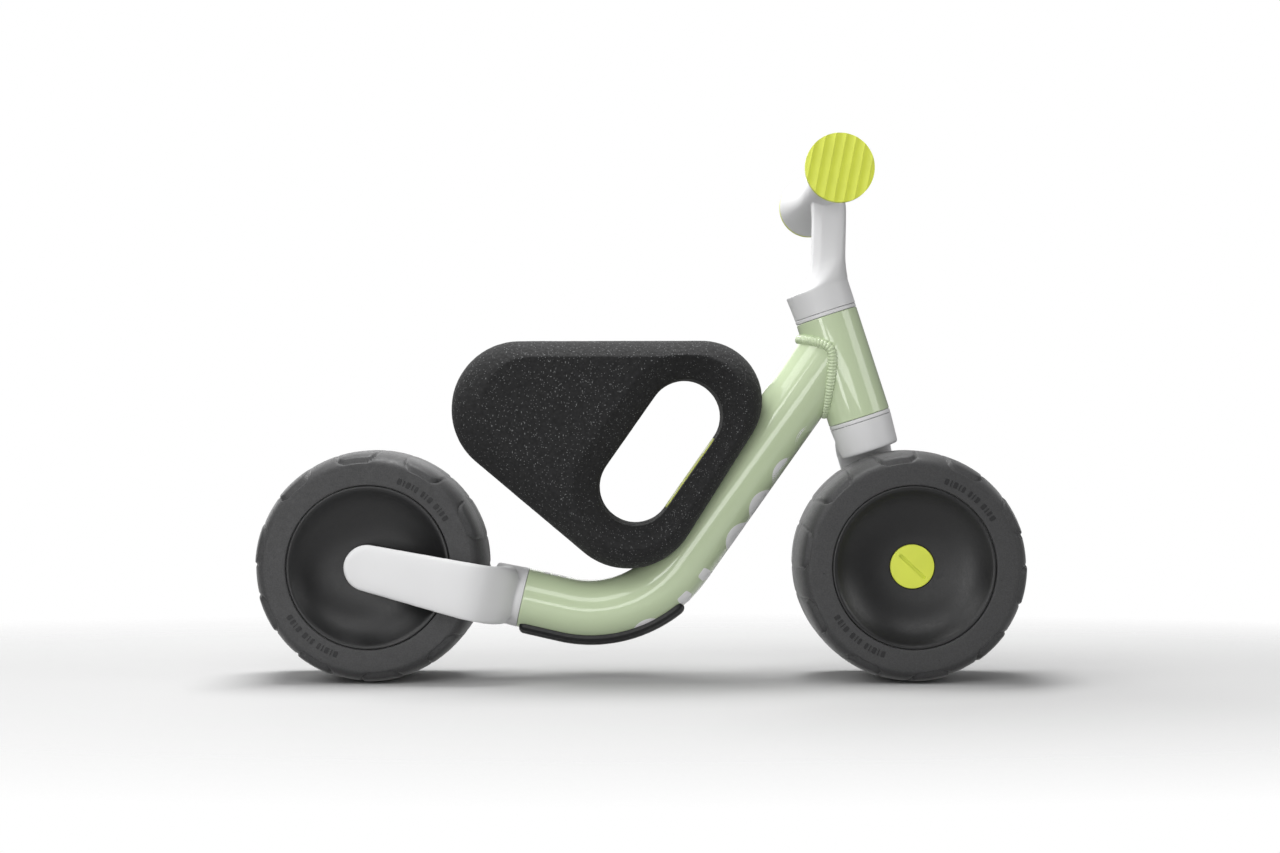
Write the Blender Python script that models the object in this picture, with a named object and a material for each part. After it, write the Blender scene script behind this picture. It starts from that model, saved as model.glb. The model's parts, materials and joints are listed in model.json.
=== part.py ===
"""A toddler's balance bike, every piece a solid of its own.

Metres, +X is the way the bike rides, +Y is the rider's left and +Z is up.
The origin is on the ground, halfway between the two axles.

The bike has one bent tube from the rear arm up to the head tube.  Both wheels
hang on a stub axle held by one leg only: the fork's leg is on the left and the
rear arm's leg is on the right.  The open side of each wheel has a coin-slot cap.
"""

import math

import bmesh
import bpy
from mathutils import Matrix, Vector

# ---------------------------------------------------------------- driving dimensions

WHEELBASE = 0.4166
WHEEL_RADIUS = 0.0890
TYRE_HALF_WIDTH = 0.0520
TYRE_CROWN_HALF_WIDTH = 0.0110
SIDEWALL_OUTER_RADIUS = 0.0777
HUB_RADIUS = 0.0625

HEAD_TILT = math.radians(18.0)          # steering axis, leaning back from vertical
HEAD_TUBE_RADIUS = 0.0245
HEAD_TUBE_BORE = 0.0220
HEAD_TUBE_BOTTOM = 0.1210               # along the steering axis, from the front axle
HEAD_TUBE_TOP = 0.2040

TUBE_ANGLE = math.radians(55.0)         # straight front run of the main tube
TUBE_JOINT_HEIGHT = 0.1815              # where it meets the steering axis, from the axle
REAR_TUBE_DROP = math.radians(12.8)     # rear run falls this much towards the front
TUBE_RADIUS_REAR = 0.0235
TUBE_RADIUS_HEAD = 0.0245
TUBE_WALL = 0.0022
TUBE_BEND_RADIUS = 0.0870
REAR_SEAM = 0.1190                      # end of the main tube, from the rear axle

LEG_OUTER_FACE = 0.0623
BAR_HALF_WIDTH = 0.1500
BAR_HEIGHT = 0.3825
BAR_X = 0.1426
BAR_END_RADIUS = 0.0250

SEAT_HALF_WIDTH = 0.0550
SLOT_RADIUS = 0.0284

STEER_LIMIT = math.radians(45.0)

GAP = 0.0003                            # between touching pieces

# ---------------------------------------------------------------- derived places

REAR_AXLE = Vector((-WHEELBASE / 2, 0, WHEEL_RADIUS))
FRONT_AXLE = Vector((WHEELBASE / 2, 0, WHEEL_RADIUS))
STEER_AXIS = Vector((-math.sin(HEAD_TILT), 0, math.cos(HEAD_TILT)))
TUBE_DIRECTION = Vector((math.cos(TUBE_ANGLE), 0, math.sin(TUBE_ANGLE)))
REAR_DIRECTION = Vector((math.cos(REAR_TUBE_DROP), 0, -math.sin(REAR_TUBE_DROP)))
TUBE_JOINT = FRONT_AXLE + STEER_AXIS * TUBE_JOINT_HEIGHT

SEGMENTS_WHEEL = 40
SEGMENTS_HUB = 24
SEGMENTS_COLLAR = 28
SEGMENTS_TUBE = 24
SEGMENTS_SMALL = 16

# ---------------------------------------------------------------- helpers


def clear_scene():
    for thing in list(bpy.data.objects):
        bpy.data.objects.remove(thing)


def material(name, colour, roughness, metallic=0.0):
    """A Principled material; colour is linear RGB."""
    made = bpy.data.materials.new(name)
    made.use_nodes = True
    shader = made.node_tree.nodes["Principled BSDF"]
    shader.inputs["Base Color"].default_value = (*colour, 1.0)
    shader.inputs["Roughness"].default_value = roughness
    shader.inputs["Metallic"].default_value = metallic
    return made


def solid(name, shape):
    """Turn a closed bmesh into an object whose faces point out."""
    bmesh.ops.recalc_face_normals(shape, faces=shape.faces)
    mesh = bpy.data.meshes.new(name)
    shape.to_mesh(mesh)
    shape.free()
    thing = bpy.data.objects.new(name, mesh)
    bpy.context.collection.objects.link(thing)
    return thing


def loft(rings):
    """Skin equal rings of points one after another and close both ends."""
    shape = bmesh.new()
    rows = [[shape.verts.new(point) for point in ring] for ring in rings]
    count = len(rows[0])
    for low, high in zip(rows, rows[1:]):
        for i in range(count):
            j = (i + 1) % count
            shape.faces.new((low[i], low[j], high[j], high[i]))
    shape.faces.new(rows[0][::-1])
    shape.faces.new(rows[-1])
    return shape


def turned(profile, segments, start=0.0):
    """Turn a closed (radius, height) outline about +Z; it may touch the axis."""
    shape = bmesh.new()
    rows = []
    for radius, height in profile:
        if radius == 0:
            rows.append([shape.verts.new((0, 0, height))])
            continue
        angles = [start + 2 * math.pi * i / segments for i in range(segments)]
        rows.append([shape.verts.new((radius * math.cos(a), radius * math.sin(a), height))
                     for a in angles])
    for low, high in zip(rows, rows[1:] + rows[:1]):
        if len(low) == 1 and len(high) == 1:
            continue
        for i in range(segments):
            j = (i + 1) % segments
            corners = [low[i % len(low)], low[j % len(low)],
                       high[j % len(high)], high[i % len(high)]]
            shape.faces.new(list(dict.fromkeys(corners)))
    return shape


def rod(radius, low, high, segments=SEGMENTS_SMALL):
    """A plain round bar along +Z, turned a little so that no edge lies in a middle plane."""
    return turned([(0, low), (radius, low), (radius, high), (0, high)], segments, 0.13)


def ring(outer, inner, low, high, segments=SEGMENTS_TUBE):
    """A plain sleeve along +Z."""
    return turned([(inner, low), (outer, low), (outer, high), (inner, high)], segments)


def moved(shape, matrix):
    bmesh.ops.transform(shape, matrix=matrix, verts=shape.verts)
    return shape


def along_y(shape, x=0.0, z=0.0):
    """Lay a shape made along +Z so that it runs along +Y."""
    return moved(shape, Matrix.Translation((x, 0, z)) @ Matrix.Rotation(-math.pi / 2, 4, "X"))


def combine(target, tool_shape, operation):
    """Join or cut a solid with a bmesh and keep the result as the solid's own mesh."""
    tool = solid("tool", tool_shape)
    modifier = target.modifiers.new("combine", "BOOLEAN")
    modifier.operation = operation
    modifier.solver = "EXACT"
    modifier.object = tool
    graph = bpy.context.evaluated_depsgraph_get()
    result = bpy.data.meshes.new_from_object(target.evaluated_get(graph))
    target.modifiers.clear()
    target.data = result
    bpy.data.objects.remove(tool)


def cut(target, tool_shape):
    combine(target, tool_shape, "DIFFERENCE")


def join(target, tool_shape):
    combine(target, tool_shape, "UNION")


def place(thing, paint, parent, rotation=(0, 0, 0)):
    """Give a finished solid its material, shading and parent."""
    thing.data.materials.clear()
    thing.data.materials.append(paint)
    thing.data.shade_smooth()
    thing.data.set_sharp_from_angle(angle=math.radians(35))
    thing.parent = parent
    thing.rotation_euler = rotation
    return thing


def empty(name, parent=None, location=(0, 0, 0), rotation=(0, 0, 0)):
    """A joint's place: its children turn about its origin."""
    made = bpy.data.objects.new(name, None)
    bpy.context.collection.objects.link(made)
    made.parent = parent
    made.location = location
    made.rotation_euler = rotation
    return made


def circle_points(radius, count):
    return [(radius * math.cos(2 * math.pi * i / count), radius * math.sin(2 * math.pi * i / count))
            for i in range(count)]


# ---------------------------------------------------------------- main tube


def tube_path(bend_steps=9):
    """Centre points of the main tube from its rear end to the head tube, with directions."""
    across = REAR_DIRECTION.x * TUBE_DIRECTION.z - REAR_DIRECTION.z * TUBE_DIRECTION.x
    gap = TUBE_JOINT - REAR_AXLE
    to_corner = (gap.x * TUBE_DIRECTION.z - gap.z * TUBE_DIRECTION.x) / across
    corner = REAR_AXLE + REAR_DIRECTION * to_corner
    turn = REAR_TUBE_DROP + TUBE_ANGLE
    tangent = TUBE_BEND_RADIUS * math.tan(turn / 2)
    bend_start = corner - REAR_DIRECTION * tangent
    up = Vector((math.sin(REAR_TUBE_DROP), 0, math.cos(REAR_TUBE_DROP)))
    centre = bend_start + up * TUBE_BEND_RADIUS
    path = [(REAR_AXLE + REAR_DIRECTION * REAR_SEAM, REAR_DIRECTION)]
    for step in range(bend_steps + 1):
        slope = -REAR_TUBE_DROP + turn * step / bend_steps
        point = centre + Vector((math.sin(slope), 0, -math.cos(slope))) * TUBE_BEND_RADIUS
        path.append((point, Vector((math.cos(slope), 0, math.sin(slope)))))
    path.append((TUBE_JOINT, TUBE_DIRECTION))
    return path


def tube_radius(point):
    """The main tube widens a little from its bend to the head tube."""
    reach = (point - TUBE_JOINT).length / 0.235
    return TUBE_RADIUS_HEAD + (TUBE_RADIUS_REAR - TUBE_RADIUS_HEAD) * min(reach, 1.0)


def tube_sweep(path, growth, count=SEGMENTS_TUBE):
    """A round bar along the path, larger than the tube by growth."""
    rings = []
    for point, direction in path:
        normal = Vector((-direction.z, 0, direction.x))
        radius = tube_radius(point) + growth
        rings.append([point + normal * (radius * a) + Vector((0, radius * b, 0))
                      for a, b in circle_points(1.0, count)])
    return loft(rings)


def steering_bar(radius, low, high, segments=SEGMENTS_TUBE):
    """A round bar on the steering axis, in the bike's own axes."""
    lean = Matrix.Translation(FRONT_AXLE) @ Matrix.Rotation(-HEAD_TILT, 4, "Y")
    return moved(rod(radius, low, high, segments), lean)


def main_tube():
    """The bent frame tube, open at both ends and coped to the head tube."""
    path = tube_path()
    tube = solid("main_tube", tube_sweep(path, 0.0))
    before = path[0][0] - REAR_DIRECTION * 0.004
    beyond = TUBE_JOINT + TUBE_DIRECTION * 0.010
    bore = [(before, REAR_DIRECTION)] + path[:-1] + [(beyond, TUBE_DIRECTION)]
    cut(tube, tube_sweep(bore, -TUBE_WALL, 20))
    cut(tube, steering_bar(HEAD_TUBE_RADIUS + GAP, HEAD_TUBE_BOTTOM - 0.06, HEAD_TUBE_TOP + 0.06,
                           SEGMENTS_COLLAR))
    for offset in SEAT_BOLTS:
        cut(tube, moved(rod(0.0034, 0.004, 0.034), seat_frame() @ Matrix.Translation((offset, 0, 0))))
    for offset in ARM_SCREWS:
        cut(tube, moved(rod(0.0038, 0.0175, 0.03), screw_frame(offset)))
    return tube


def head_tube():
    """The short steering tube, made along its own axis."""
    return solid("head_tube", ring(HEAD_TUBE_RADIUS, HEAD_TUBE_BORE, HEAD_TUBE_BOTTOM,
                                   HEAD_TUBE_TOP, SEGMENTS_COLLAR))


def saddle_point(angle, growth=0.0):
    """Where the main tube's surface line at this angle runs into the head tube."""
    normal = Vector((-TUBE_DIRECTION.z, 0, TUBE_DIRECTION.x))
    radius = TUBE_RADIUS_HEAD - 0.0004
    on_tube = TUBE_JOINT + normal * (radius * math.cos(angle)) + Vector((0, radius * math.sin(angle), 0))
    offset = on_tube - FRONT_AXLE
    flat = offset - STEER_AXIS * offset.dot(STEER_AXIS)
    slide = TUBE_DIRECTION - STEER_AXIS * TUBE_DIRECTION.dot(STEER_AXIS)
    a = slide.dot(slide)
    b = 2 * flat.dot(slide)
    c = flat.dot(flat) - (HEAD_TUBE_RADIUS + growth) ** 2
    root = math.sqrt(max(b * b - 4 * a * c, 0.0))
    return on_tube + TUBE_DIRECTION * ((-b - root) / (2 * a))


def weld_bead(steps=28, bead_radius=0.0032, sides=8):
    """The fillet weld round the joint of the two tubes, clear of both by the gap."""
    points = [saddle_point(2 * math.pi * i / steps, 0.0006) for i in range(steps)]
    rings = []
    for i, point in enumerate(points):
        ahead = (points[(i + 1) % steps] - points[i - 1]).normalized()
        side = ahead.cross(Vector((0, 0, 1))).normalized()
        up = side.cross(ahead)
        rings.append([point + side * a + up * b for a, b in circle_points(bead_radius, sides)])
    shape = bmesh.new()
    rows = [[shape.verts.new(p) for p in r] for r in rings]
    best = None
    for row, following in zip(rows, rows[1:] + rows[:1]):
        if best is not None:
            row = row[best:] + row[:best]
        distances = [sum((row[k].co - following[(k + s) % sides].co).length for k in range(sides))
                     for s in range(sides)]
        best = distances.index(min(distances))
        turned_row = following[best:] + following[:best]
        for k in range(sides):
            m = (k + 1) % sides
            shape.faces.new((row[k], row[m], turned_row[m], turned_row[k]))
    bead = solid("weld_bead", shape)
    path = tube_path()
    below = TUBE_JOINT - TUBE_DIRECTION * 0.09
    beyond = TUBE_JOINT + TUBE_DIRECTION * 0.010
    cut(bead, tube_sweep([(below, TUBE_DIRECTION), path[-1], (beyond, TUBE_DIRECTION)], GAP, 48))
    cut(bead, steering_bar(HEAD_TUBE_RADIUS + GAP, HEAD_TUBE_BOTTOM - 0.05, HEAD_TUBE_TOP + 0.05, 64))
    return bead


# ---------------------------------------------------------------- single-sided legs

# Outer and inner edges of a leg seen along the collar's diameter: distance from the
# axle along the collar's axis, then distance out from the wheel's middle plane.
LEG_OUTER_EDGE = [(0.1120, 0.0180), (0.1070, 0.0310), (0.1015, 0.0435), (0.0965, 0.0535),
                  (0.0900, 0.0597), (0.0800, LEG_OUTER_FACE), (0.0620, LEG_OUTER_FACE)]
LEG_INNER_EDGE = [(0.0950, 0.0080), (0.0942, 0.0210), (0.0938, 0.0330), (0.0920, 0.0430),
                  (0.0880, 0.0495), (0.0800, 0.0543), (0.0620, 0.0546)]
LEG_END_OUTER = 0.0590
LEG_END_INNER = 0.0500
LEG_END_RADIUS = 0.0178
COLLAR_BOTTOM = 0.0934


def leg_half_height(reach):
    """The leg narrows evenly from its collar to its round end."""
    return LEG_END_RADIUS + 0.052 * reach


def leg_section(outer, inner, half_height, side, blunt=3.0, count=14):
    """A rounded section between an outer and an inner point of the leg's edges."""
    middle = [(o + i) / 2 for o, i in zip(outer, inner)]
    half = [(o - i) / 2 for o, i in zip(outer, inner)]
    points = []
    for a, b in circle_points(1.0, count):
        along = math.copysign(abs(a) ** (2 / blunt), a)
        height = math.copysign(abs(b) ** (2 / blunt), b) * half_height
        reach = middle[0] + half[0] * along
        out = middle[1] + half[1] * along
        points.append(Vector((height, side * out, reach)))
    return points


def leg_shape(side):
    """The leg from inside its collar, round the tyre's shoulder and down to the axle."""
    sections = []
    for outer, inner in zip(LEG_OUTER_EDGE, LEG_INNER_EDGE):
        sections.append(leg_section(outer, inner, leg_half_height(inner[0]) - 0.0004, side))
    for step in range(1, 10):
        turn = math.pi / 2 * max(step - 2, 0) / 7.35
        reach = 0.0 if step == 2 else -LEG_END_RADIUS * math.sin(turn)
        if step == 1:
            reach = 0.031
        share = 1 - max(reach, 0) / 0.062
        outer = LEG_OUTER_FACE + (LEG_END_OUTER - LEG_OUTER_FACE) * share
        inner = LEG_INNER_EDGE[-1][1] + (LEG_END_INNER - LEG_INNER_EDGE[-1][1]) * share
        height = leg_half_height(reach) if reach >= 0 else LEG_END_RADIUS * math.cos(turn)
        sections.append(leg_section((reach, outer), (reach, inner), height, side))
    return loft(sections)


def leg_with_collar(name, side, collar_top, top_radius, bottom_radius):
    """Collar, leg and axle boss as one casting, bored for its stub axle."""
    leg = solid(name, turned([(0, COLLAR_BOTTOM), (bottom_radius, COLLAR_BOTTOM),
                              (top_radius, collar_top), (0, collar_top)], SEGMENTS_COLLAR))
    join(leg, leg_shape(side))
    boss = along_y(turned([(0, 0.038), (0.0125, 0.038), (0.0150, 0.052), (0, 0.052)],
                         SEGMENTS_SMALL))
    bore = along_y(rod(AXLE_RADIUS + GAP, 0.030, 0.0570))
    if side < 0:
        flip = Matrix.Rotation(math.pi, 4, "X")
        boss = moved(boss, flip)
        bore = moved(bore, flip)
    join(leg, boss)
    cut(leg, bore)
    return leg


# ---------------------------------------------------------------- rear arm and its screws

AXLE_RADIUS = 0.0050
SPIGOT_LENGTH = 0.034
ARM_SCREWS = (0.1310, 0.1450)           # along the rear tube's axis, from the rear axle
REAR_LEAN = (0, math.pi / 2 + REAR_TUBE_DROP, 0)


def screw_frame(offset):
    """Places an arm screw: +Z points out of the tube's underside."""
    spot = REAR_AXLE + REAR_DIRECTION * offset
    return Matrix.Translation(spot) @ Matrix.Rotation(math.pi + REAR_TUBE_DROP, 4, "Y")


def rear_arm():
    """The single rear leg, with a hollow spigot that fills the main tube's end."""
    arm = leg_with_collar("rear_arm", -1, REAR_SEAM - GAP, TUBE_RADIUS_REAR, 0.0226)
    spigot = TUBE_RADIUS_REAR - TUBE_WALL - GAP
    join(arm, rod(spigot, REAR_SEAM - 0.004, REAR_SEAM + SPIGOT_LENGTH, SEGMENTS_TUBE))
    cut(arm, rod(0.0130, 0.1080, REAR_SEAM + SPIGOT_LENGTH + 0.01, SEGMENTS_TUBE))
    for offset in ARM_SCREWS:
        aim = Matrix.Translation((0, 0, offset)) @ Matrix.Rotation(math.pi / 2, 4, "Y")
        cut(arm, moved(rod(0.0026, 0.004, 0.030), aim))
    return arm


def arm_screw(name):
    """A flush screw: its head fills the tube wall's hole and its shank is in the spigot."""
    return solid(name, turned([(0, 0.0140), (0.0023, 0.0140), (0.0023, 0.0215), (0.0035, 0.0215),
                               (0.0035, 0.0232), (0, 0.0232)], SEGMENTS_SMALL))


# ---------------------------------------------------------------- guard under the bend

GUARD_HALF_ANGLE = math.radians(38)
GUARD_THICKNESS = 0.0039
GUARD_FRONT_SLOPE = math.radians(41)


def underside_guard():
    """A rubber strip that wraps the tube's underside from the seam round the bend."""
    path = tube_path(13)
    kept = [(path[0][0] + REAR_DIRECTION * 0.0045, REAR_DIRECTION)]
    kept += [step for step in path[1:-1] if math.atan2(step[1].z, step[1].x) < GUARD_FRONT_SLOPE]
    rings = []
    for index, (point, direction) in enumerate(kept):
        down = Vector((direction.z, 0, -direction.x))
        from_end = min(index, len(kept) - 1 - index)
        thick = GUARD_THICKNESS * (0.55 if from_end == 0 else 1.0)
        inner = tube_radius(point) + GAP
        outer = inner + thick
        span = GUARD_HALF_ANGLE * (0.86 if from_end == 0 else 1.0)
        angles = [span * (k / 4 - 1) for k in range(9)]
        outline = [(inner, a) for a in angles] + [(outer, a) for a in angles[::-1]]
        rings.append([point + down * (r * math.cos(a)) + Vector((0, r * math.sin(a), 0))
                      for r, a in outline])
    return solid("underside_guard", loft(rings))


# ---------------------------------------------------------------- seat and its fixing

# The seat's side outline is the band drawn tight round three circles: x, z, radius.
SEAT_CIRCLES = [(-0.0935, 0.2097, 0.0527), (-0.0098, 0.1410, 0.0539), (0.0470, 0.2165, 0.0462)]
SEAT_LEVELS = [(0.0, 0.0230), (0.0012, 0.0150), (0.0060, 0.0068), (0.0140, 0.0018), (0.0250, 0.0)]
SLOT_CENTRE = Vector((0.0149, 0, 0.1766))
SLOT_HALF_SPAN = 0.0340
SEAT_BOLTS = (-0.0210, 0.0210)          # along the tube, from the slot's middle
PLATE_LOW = 0.0330                      # from the tube's centre line; sunk in the foam
PLATE_HIGH = 0.0370
PLATE_SHELF = 0.0350                    # where the bolts' heads rest
HEAD_RADIUS = 0.0062


def slot_to_tube():
    """Distance from the slot's centre to the main tube's centre line."""
    down = Vector((TUBE_DIRECTION.z, 0, -TUBE_DIRECTION.x))
    return (TUBE_JOINT - SLOT_CENTRE).dot(down)


def seat_frame():
    """Axes for the seat's fixings: +X up along the tube, +Z from its centre to the slot."""
    down = Vector((TUBE_DIRECTION.z, 0, -TUBE_DIRECTION.x))
    spot = SLOT_CENTRE + down * slot_to_tube()
    return Matrix.Translation(spot) @ Matrix.Rotation(-TUBE_ANGLE, 4, "Y")


def band_outline(circles, inset, steps=8):
    """Points of the tight band round circles listed anticlockwise, drawn in by inset."""
    arcs = []
    count = len(circles)
    for i in range(count):
        x0, z0, r0 = circles[i - 1]
        x1, z1, r1 = circles[i]
        x2, z2, r2 = circles[(i + 1) % count]
        angles = []
        for (xa, za, ra), (xb, zb, rb) in (((x0, z0, r0), (x1, z1, r1)), ((x1, z1, r1), (x2, z2, r2))):
            length = math.hypot(xb - xa, zb - za)
            heading = math.atan2(zb - za, xb - xa)
            angles.append(heading - math.acos((ra - rb) / length))
        first, last = angles
        while last < first:
            last += 2 * math.pi
        for k in range(steps):
            a = first + (last - first) * k / (steps - 1)
            arcs.append((x1 + (r1 - inset) * math.cos(a), z1 + (r1 - inset) * math.sin(a)))
    return arcs


def slot_outline(radius, steps=8):
    """The hand slot's outline: two half circles in line with the main tube."""
    points = []
    for end in (1, -1):
        centre = SLOT_CENTRE + TUBE_DIRECTION * (SLOT_HALF_SPAN * end)
        begin = TUBE_ANGLE - math.pi / 2 + (0 if end > 0 else math.pi)
        for k in range(steps):
            a = begin + math.pi * k / (steps - 1)
            points.append((centre.x + radius * math.cos(a), centre.z + radius * math.sin(a)))
    return points


def seat():
    """The foam seat: a crowned block with a hand slot, saddled over the main tube."""
    levels = [(-SEAT_HALF_WIDTH + out, inset) for out, inset in SEAT_LEVELS]
    levels += [(-y, inset) for y, inset in levels[::-1]]
    block = solid("seat", loft([[Vector((x, y, z)) for x, z in band_outline(SEAT_CIRCLES, inset)]
                                for y, inset in levels]))
    flares = [(0.0600, 0.0250), (0.0470, 0.0110), (0.0400, 0.0035), (0.0350, 0.0)]
    slot_levels = [(-y, grow) for y, grow in flares] + flares[::-1]
    cut(block, loft([[Vector((x, y, z)) for x, z in slot_outline(SLOT_RADIUS + grow)]
                     for y, grow in slot_levels]))
    cut(block, tube_sweep(tube_path(), 0.0005))
    cut(block, moved(plate_block(GAP, PLATE_LOW - GAP, PLATE_HIGH + 0.01), seat_frame()))
    for offset in SEAT_BOLTS:
        cut(block, moved(rod(0.0034, 0.010, 0.045), seat_frame() @ Matrix.Translation((offset, 0, 0))))
    return block


def plate_block(growth, low, high):
    """A bar with the clamp plate's rounded outline, larger by growth."""
    half_length = SLOT_HALF_SPAN - 0.001
    half_width = 0.0210
    corner = 0.006
    outline = []
    for cx, cy, begin in ((1, 1, 0), (-1, 1, 90), (-1, -1, 180), (1, -1, 270)):
        for k in range(4):
            a = math.radians(begin + 30 * k)
            outline.append((cx * (half_length - corner) + (corner + growth) * math.cos(a),
                            cy * (half_width - corner) + (corner + growth) * math.sin(a)))
    return loft([[Vector((x, y, z)) for x, y in outline] for z in (low, high)])


def seat_clamp_plate():
    """The plate sunk in the slot's lower wall, which spreads the bolts' load on the foam."""
    plate = solid("seat_clamp_plate", plate_block(0.0, PLATE_LOW, PLATE_HIGH))
    stepped = [(0, 0.0300), (0.0034, 0.0300), (0.0034, PLATE_SHELF), (HEAD_RADIUS + GAP, PLATE_SHELF),
               (HEAD_RADIUS + GAP, 0.0450), (0, 0.0450)]
    for offset in SEAT_BOLTS:
        cut(plate, moved(turned(stepped, SEGMENTS_SMALL, 0.13), Matrix.Translation((offset, 0, 0))))
    return plate


def seat_bolt(name):
    """A flush bolt with a slot for a coin."""
    head_low = PLATE_SHELF + GAP
    bolt = solid(name, turned([(0, 0.0120), (0.0030, 0.0120), (0.0030, head_low),
                               (HEAD_RADIUS, head_low), (HEAD_RADIUS, PLATE_HIGH), (0, PLATE_HIGH)],
                              SEGMENTS_SMALL))
    cut(bolt, box((-0.0045, 0.0045), (-0.0007, 0.0007), (PLATE_HIGH - 0.0009, PLATE_HIGH + 0.004)))
    return bolt


def seat_nut(name):
    """A hexagon nut inside the tube, on the tube's upper inner wall."""
    nut = solid(name, rod(0.0062, 0.0138, 0.0194, 6))
    cut(nut, rod(0.0033, 0.0100, 0.0250))
    return nut


def box(xs, ys, zs):
    shape = bmesh.new()
    bmesh.ops.create_cube(shape, size=1.0)
    size = [b - a for a, b in (xs, ys, zs)]
    middle = [(a + b) / 2 for a, b in (xs, ys, zs)]
    return moved(shape, Matrix.Translation(middle) @ Matrix.Diagonal((*size, 1)))


# ---------------------------------------------------------------- fork and steering

CROWN_TOP = HEAD_TUBE_BOTTOM - 0.0036
HANDLEBAR_BOTTOM = HEAD_TUBE_TOP + 0.0036
STEERER_RADIUS = 0.0130
STEERER_LOW = 0.1060
STEERER_HIGH = 0.2205
BOLT_RADIUS = 0.0040
STOP_LOW = 0.1580
STOP_HIGH = 0.1680


def fork():
    """Crown collar and the single front leg, bored for the steerer and its bolt."""
    made = leg_with_collar("fork", 1, CROWN_TOP, HEAD_TUBE_RADIUS, 0.0229)
    cut(made, turned([(0, 0.0850), (0.0075, 0.0850), (0.0075, 0.1000), (BOLT_RADIUS + GAP, 0.1000),
                      (BOLT_RADIUS + GAP, STEERER_LOW), (STEERER_RADIUS + GAP, STEERER_LOW),
                      (STEERER_RADIUS + GAP, CROWN_TOP + 0.01), (0, CROWN_TOP + 0.01)],
                     SEGMENTS_TUBE, 0.13))
    return made


def steerer_tube():
    return solid("steerer_tube", ring(STEERER_RADIUS, 0.0105, STEERER_LOW + GAP, STEERER_HIGH))


def steering_bolt():
    """The long bolt that draws the handlebar, the steerer and the fork together."""
    bolt = solid("steering_bolt", turned([(0, 0.0945), (0.0065, 0.0945), (0.0065, 0.0997),
                                          (BOLT_RADIUS, 0.0997), (BOLT_RADIUS, 0.2305), (0, 0.2305)],
                                         SEGMENTS_SMALL))
    cut(bolt, ring_key(0.0034, 0.0930, 0.0975))
    return bolt


def ring_key(radius, low, high):
    """A hexagon socket."""
    return rod(radius, low, high, 6)


def headset_bearing(name, low):
    return solid(name, ring(HEAD_TUBE_BORE - GAP, STEERER_RADIUS + GAP, low, low + 0.010))


def headset_cover(name, low):
    return solid(name, ring(HEAD_TUBE_RADIUS, STEERER_RADIUS + GAP, low, low + 0.003,
                            SEGMENTS_COLLAR))


def steering_stop_ring(steps=20):
    """A C-shaped ring in the head tube whose ends stop the steerer's pin."""
    opening = STEER_LIMIT + math.asin(0.0030 / 0.0143)
    rings = []
    for i in range(steps + 1):
        a = opening + (2 * math.pi - 2 * opening) * i / steps
        corners = ((0.0143, STOP_LOW), (0.0217, STOP_LOW), (0.0217, STOP_HIGH), (0.0143, STOP_HIGH))
        rings.append([Vector((r * math.cos(a), r * math.sin(a), z)) for r, z in corners])
    return solid("steering_stop_ring", loft(rings))


def steering_stop_pin():
    middle = (STOP_LOW + STOP_HIGH) / 2
    aim = Matrix.Translation((0, 0, middle)) @ Matrix.Rotation(math.pi / 2, 4, "Y")
    return solid("steering_stop_pin", moved(rod(0.0030, STEERER_RADIUS + GAP, 0.0208), aim))


# ---------------------------------------------------------------- handlebar

# The stem's front and rear edges in the bike's axes: height, rear x, front x, half width.
STEM_SECTIONS = [(0.2960, 0.1185, 0.1660, 0.0235),
                 (0.3038, 0.1212, 0.1649, 0.0222), (0.3116, 0.1273, 0.1626, 0.0204),
                 (0.3194, 0.1312, 0.1604, 0.0190), (0.3273, 0.1333, 0.1597, 0.0180),
                 (0.3430, 0.1340, 0.1599, 0.0172), (0.3586, 0.1344, 0.1602, 0.0176),
                 (0.3700, 0.1340, 0.1598, 0.0200), (0.3830, 0.1330, 0.1570, 0.0260)]
# The crossbar's rings: distance from the middle, radius, x of its centre.
BAR_RINGS = [(0.0, 0.0140, 0.1450), (0.0300, 0.0137, 0.1440), (0.0550, 0.0136, BAR_X),
             (0.0800, 0.0141, BAR_X), (0.1000, 0.0157, BAR_X), (0.1180, 0.0186, BAR_X),
             (0.1310, 0.0218, BAR_X), (0.1390, 0.0243, BAR_X), (0.1420, BAR_END_RADIUS, BAR_X)]
CAP_SOCKET = 0.0100


def rounded_section(x_low, x_high, half_width, z, blunt=3.4, count=14):
    middle = (x_low + x_high) / 2
    half = (x_high - x_low) / 2
    points = []
    for a, b in circle_points(1.0, count):
        x = middle + half * math.copysign(abs(a) ** (2 / blunt), a)
        y = half_width * math.copysign(abs(b) ** (2 / blunt), b)
        points.append(Vector((x, y, z)))
    return points


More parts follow.
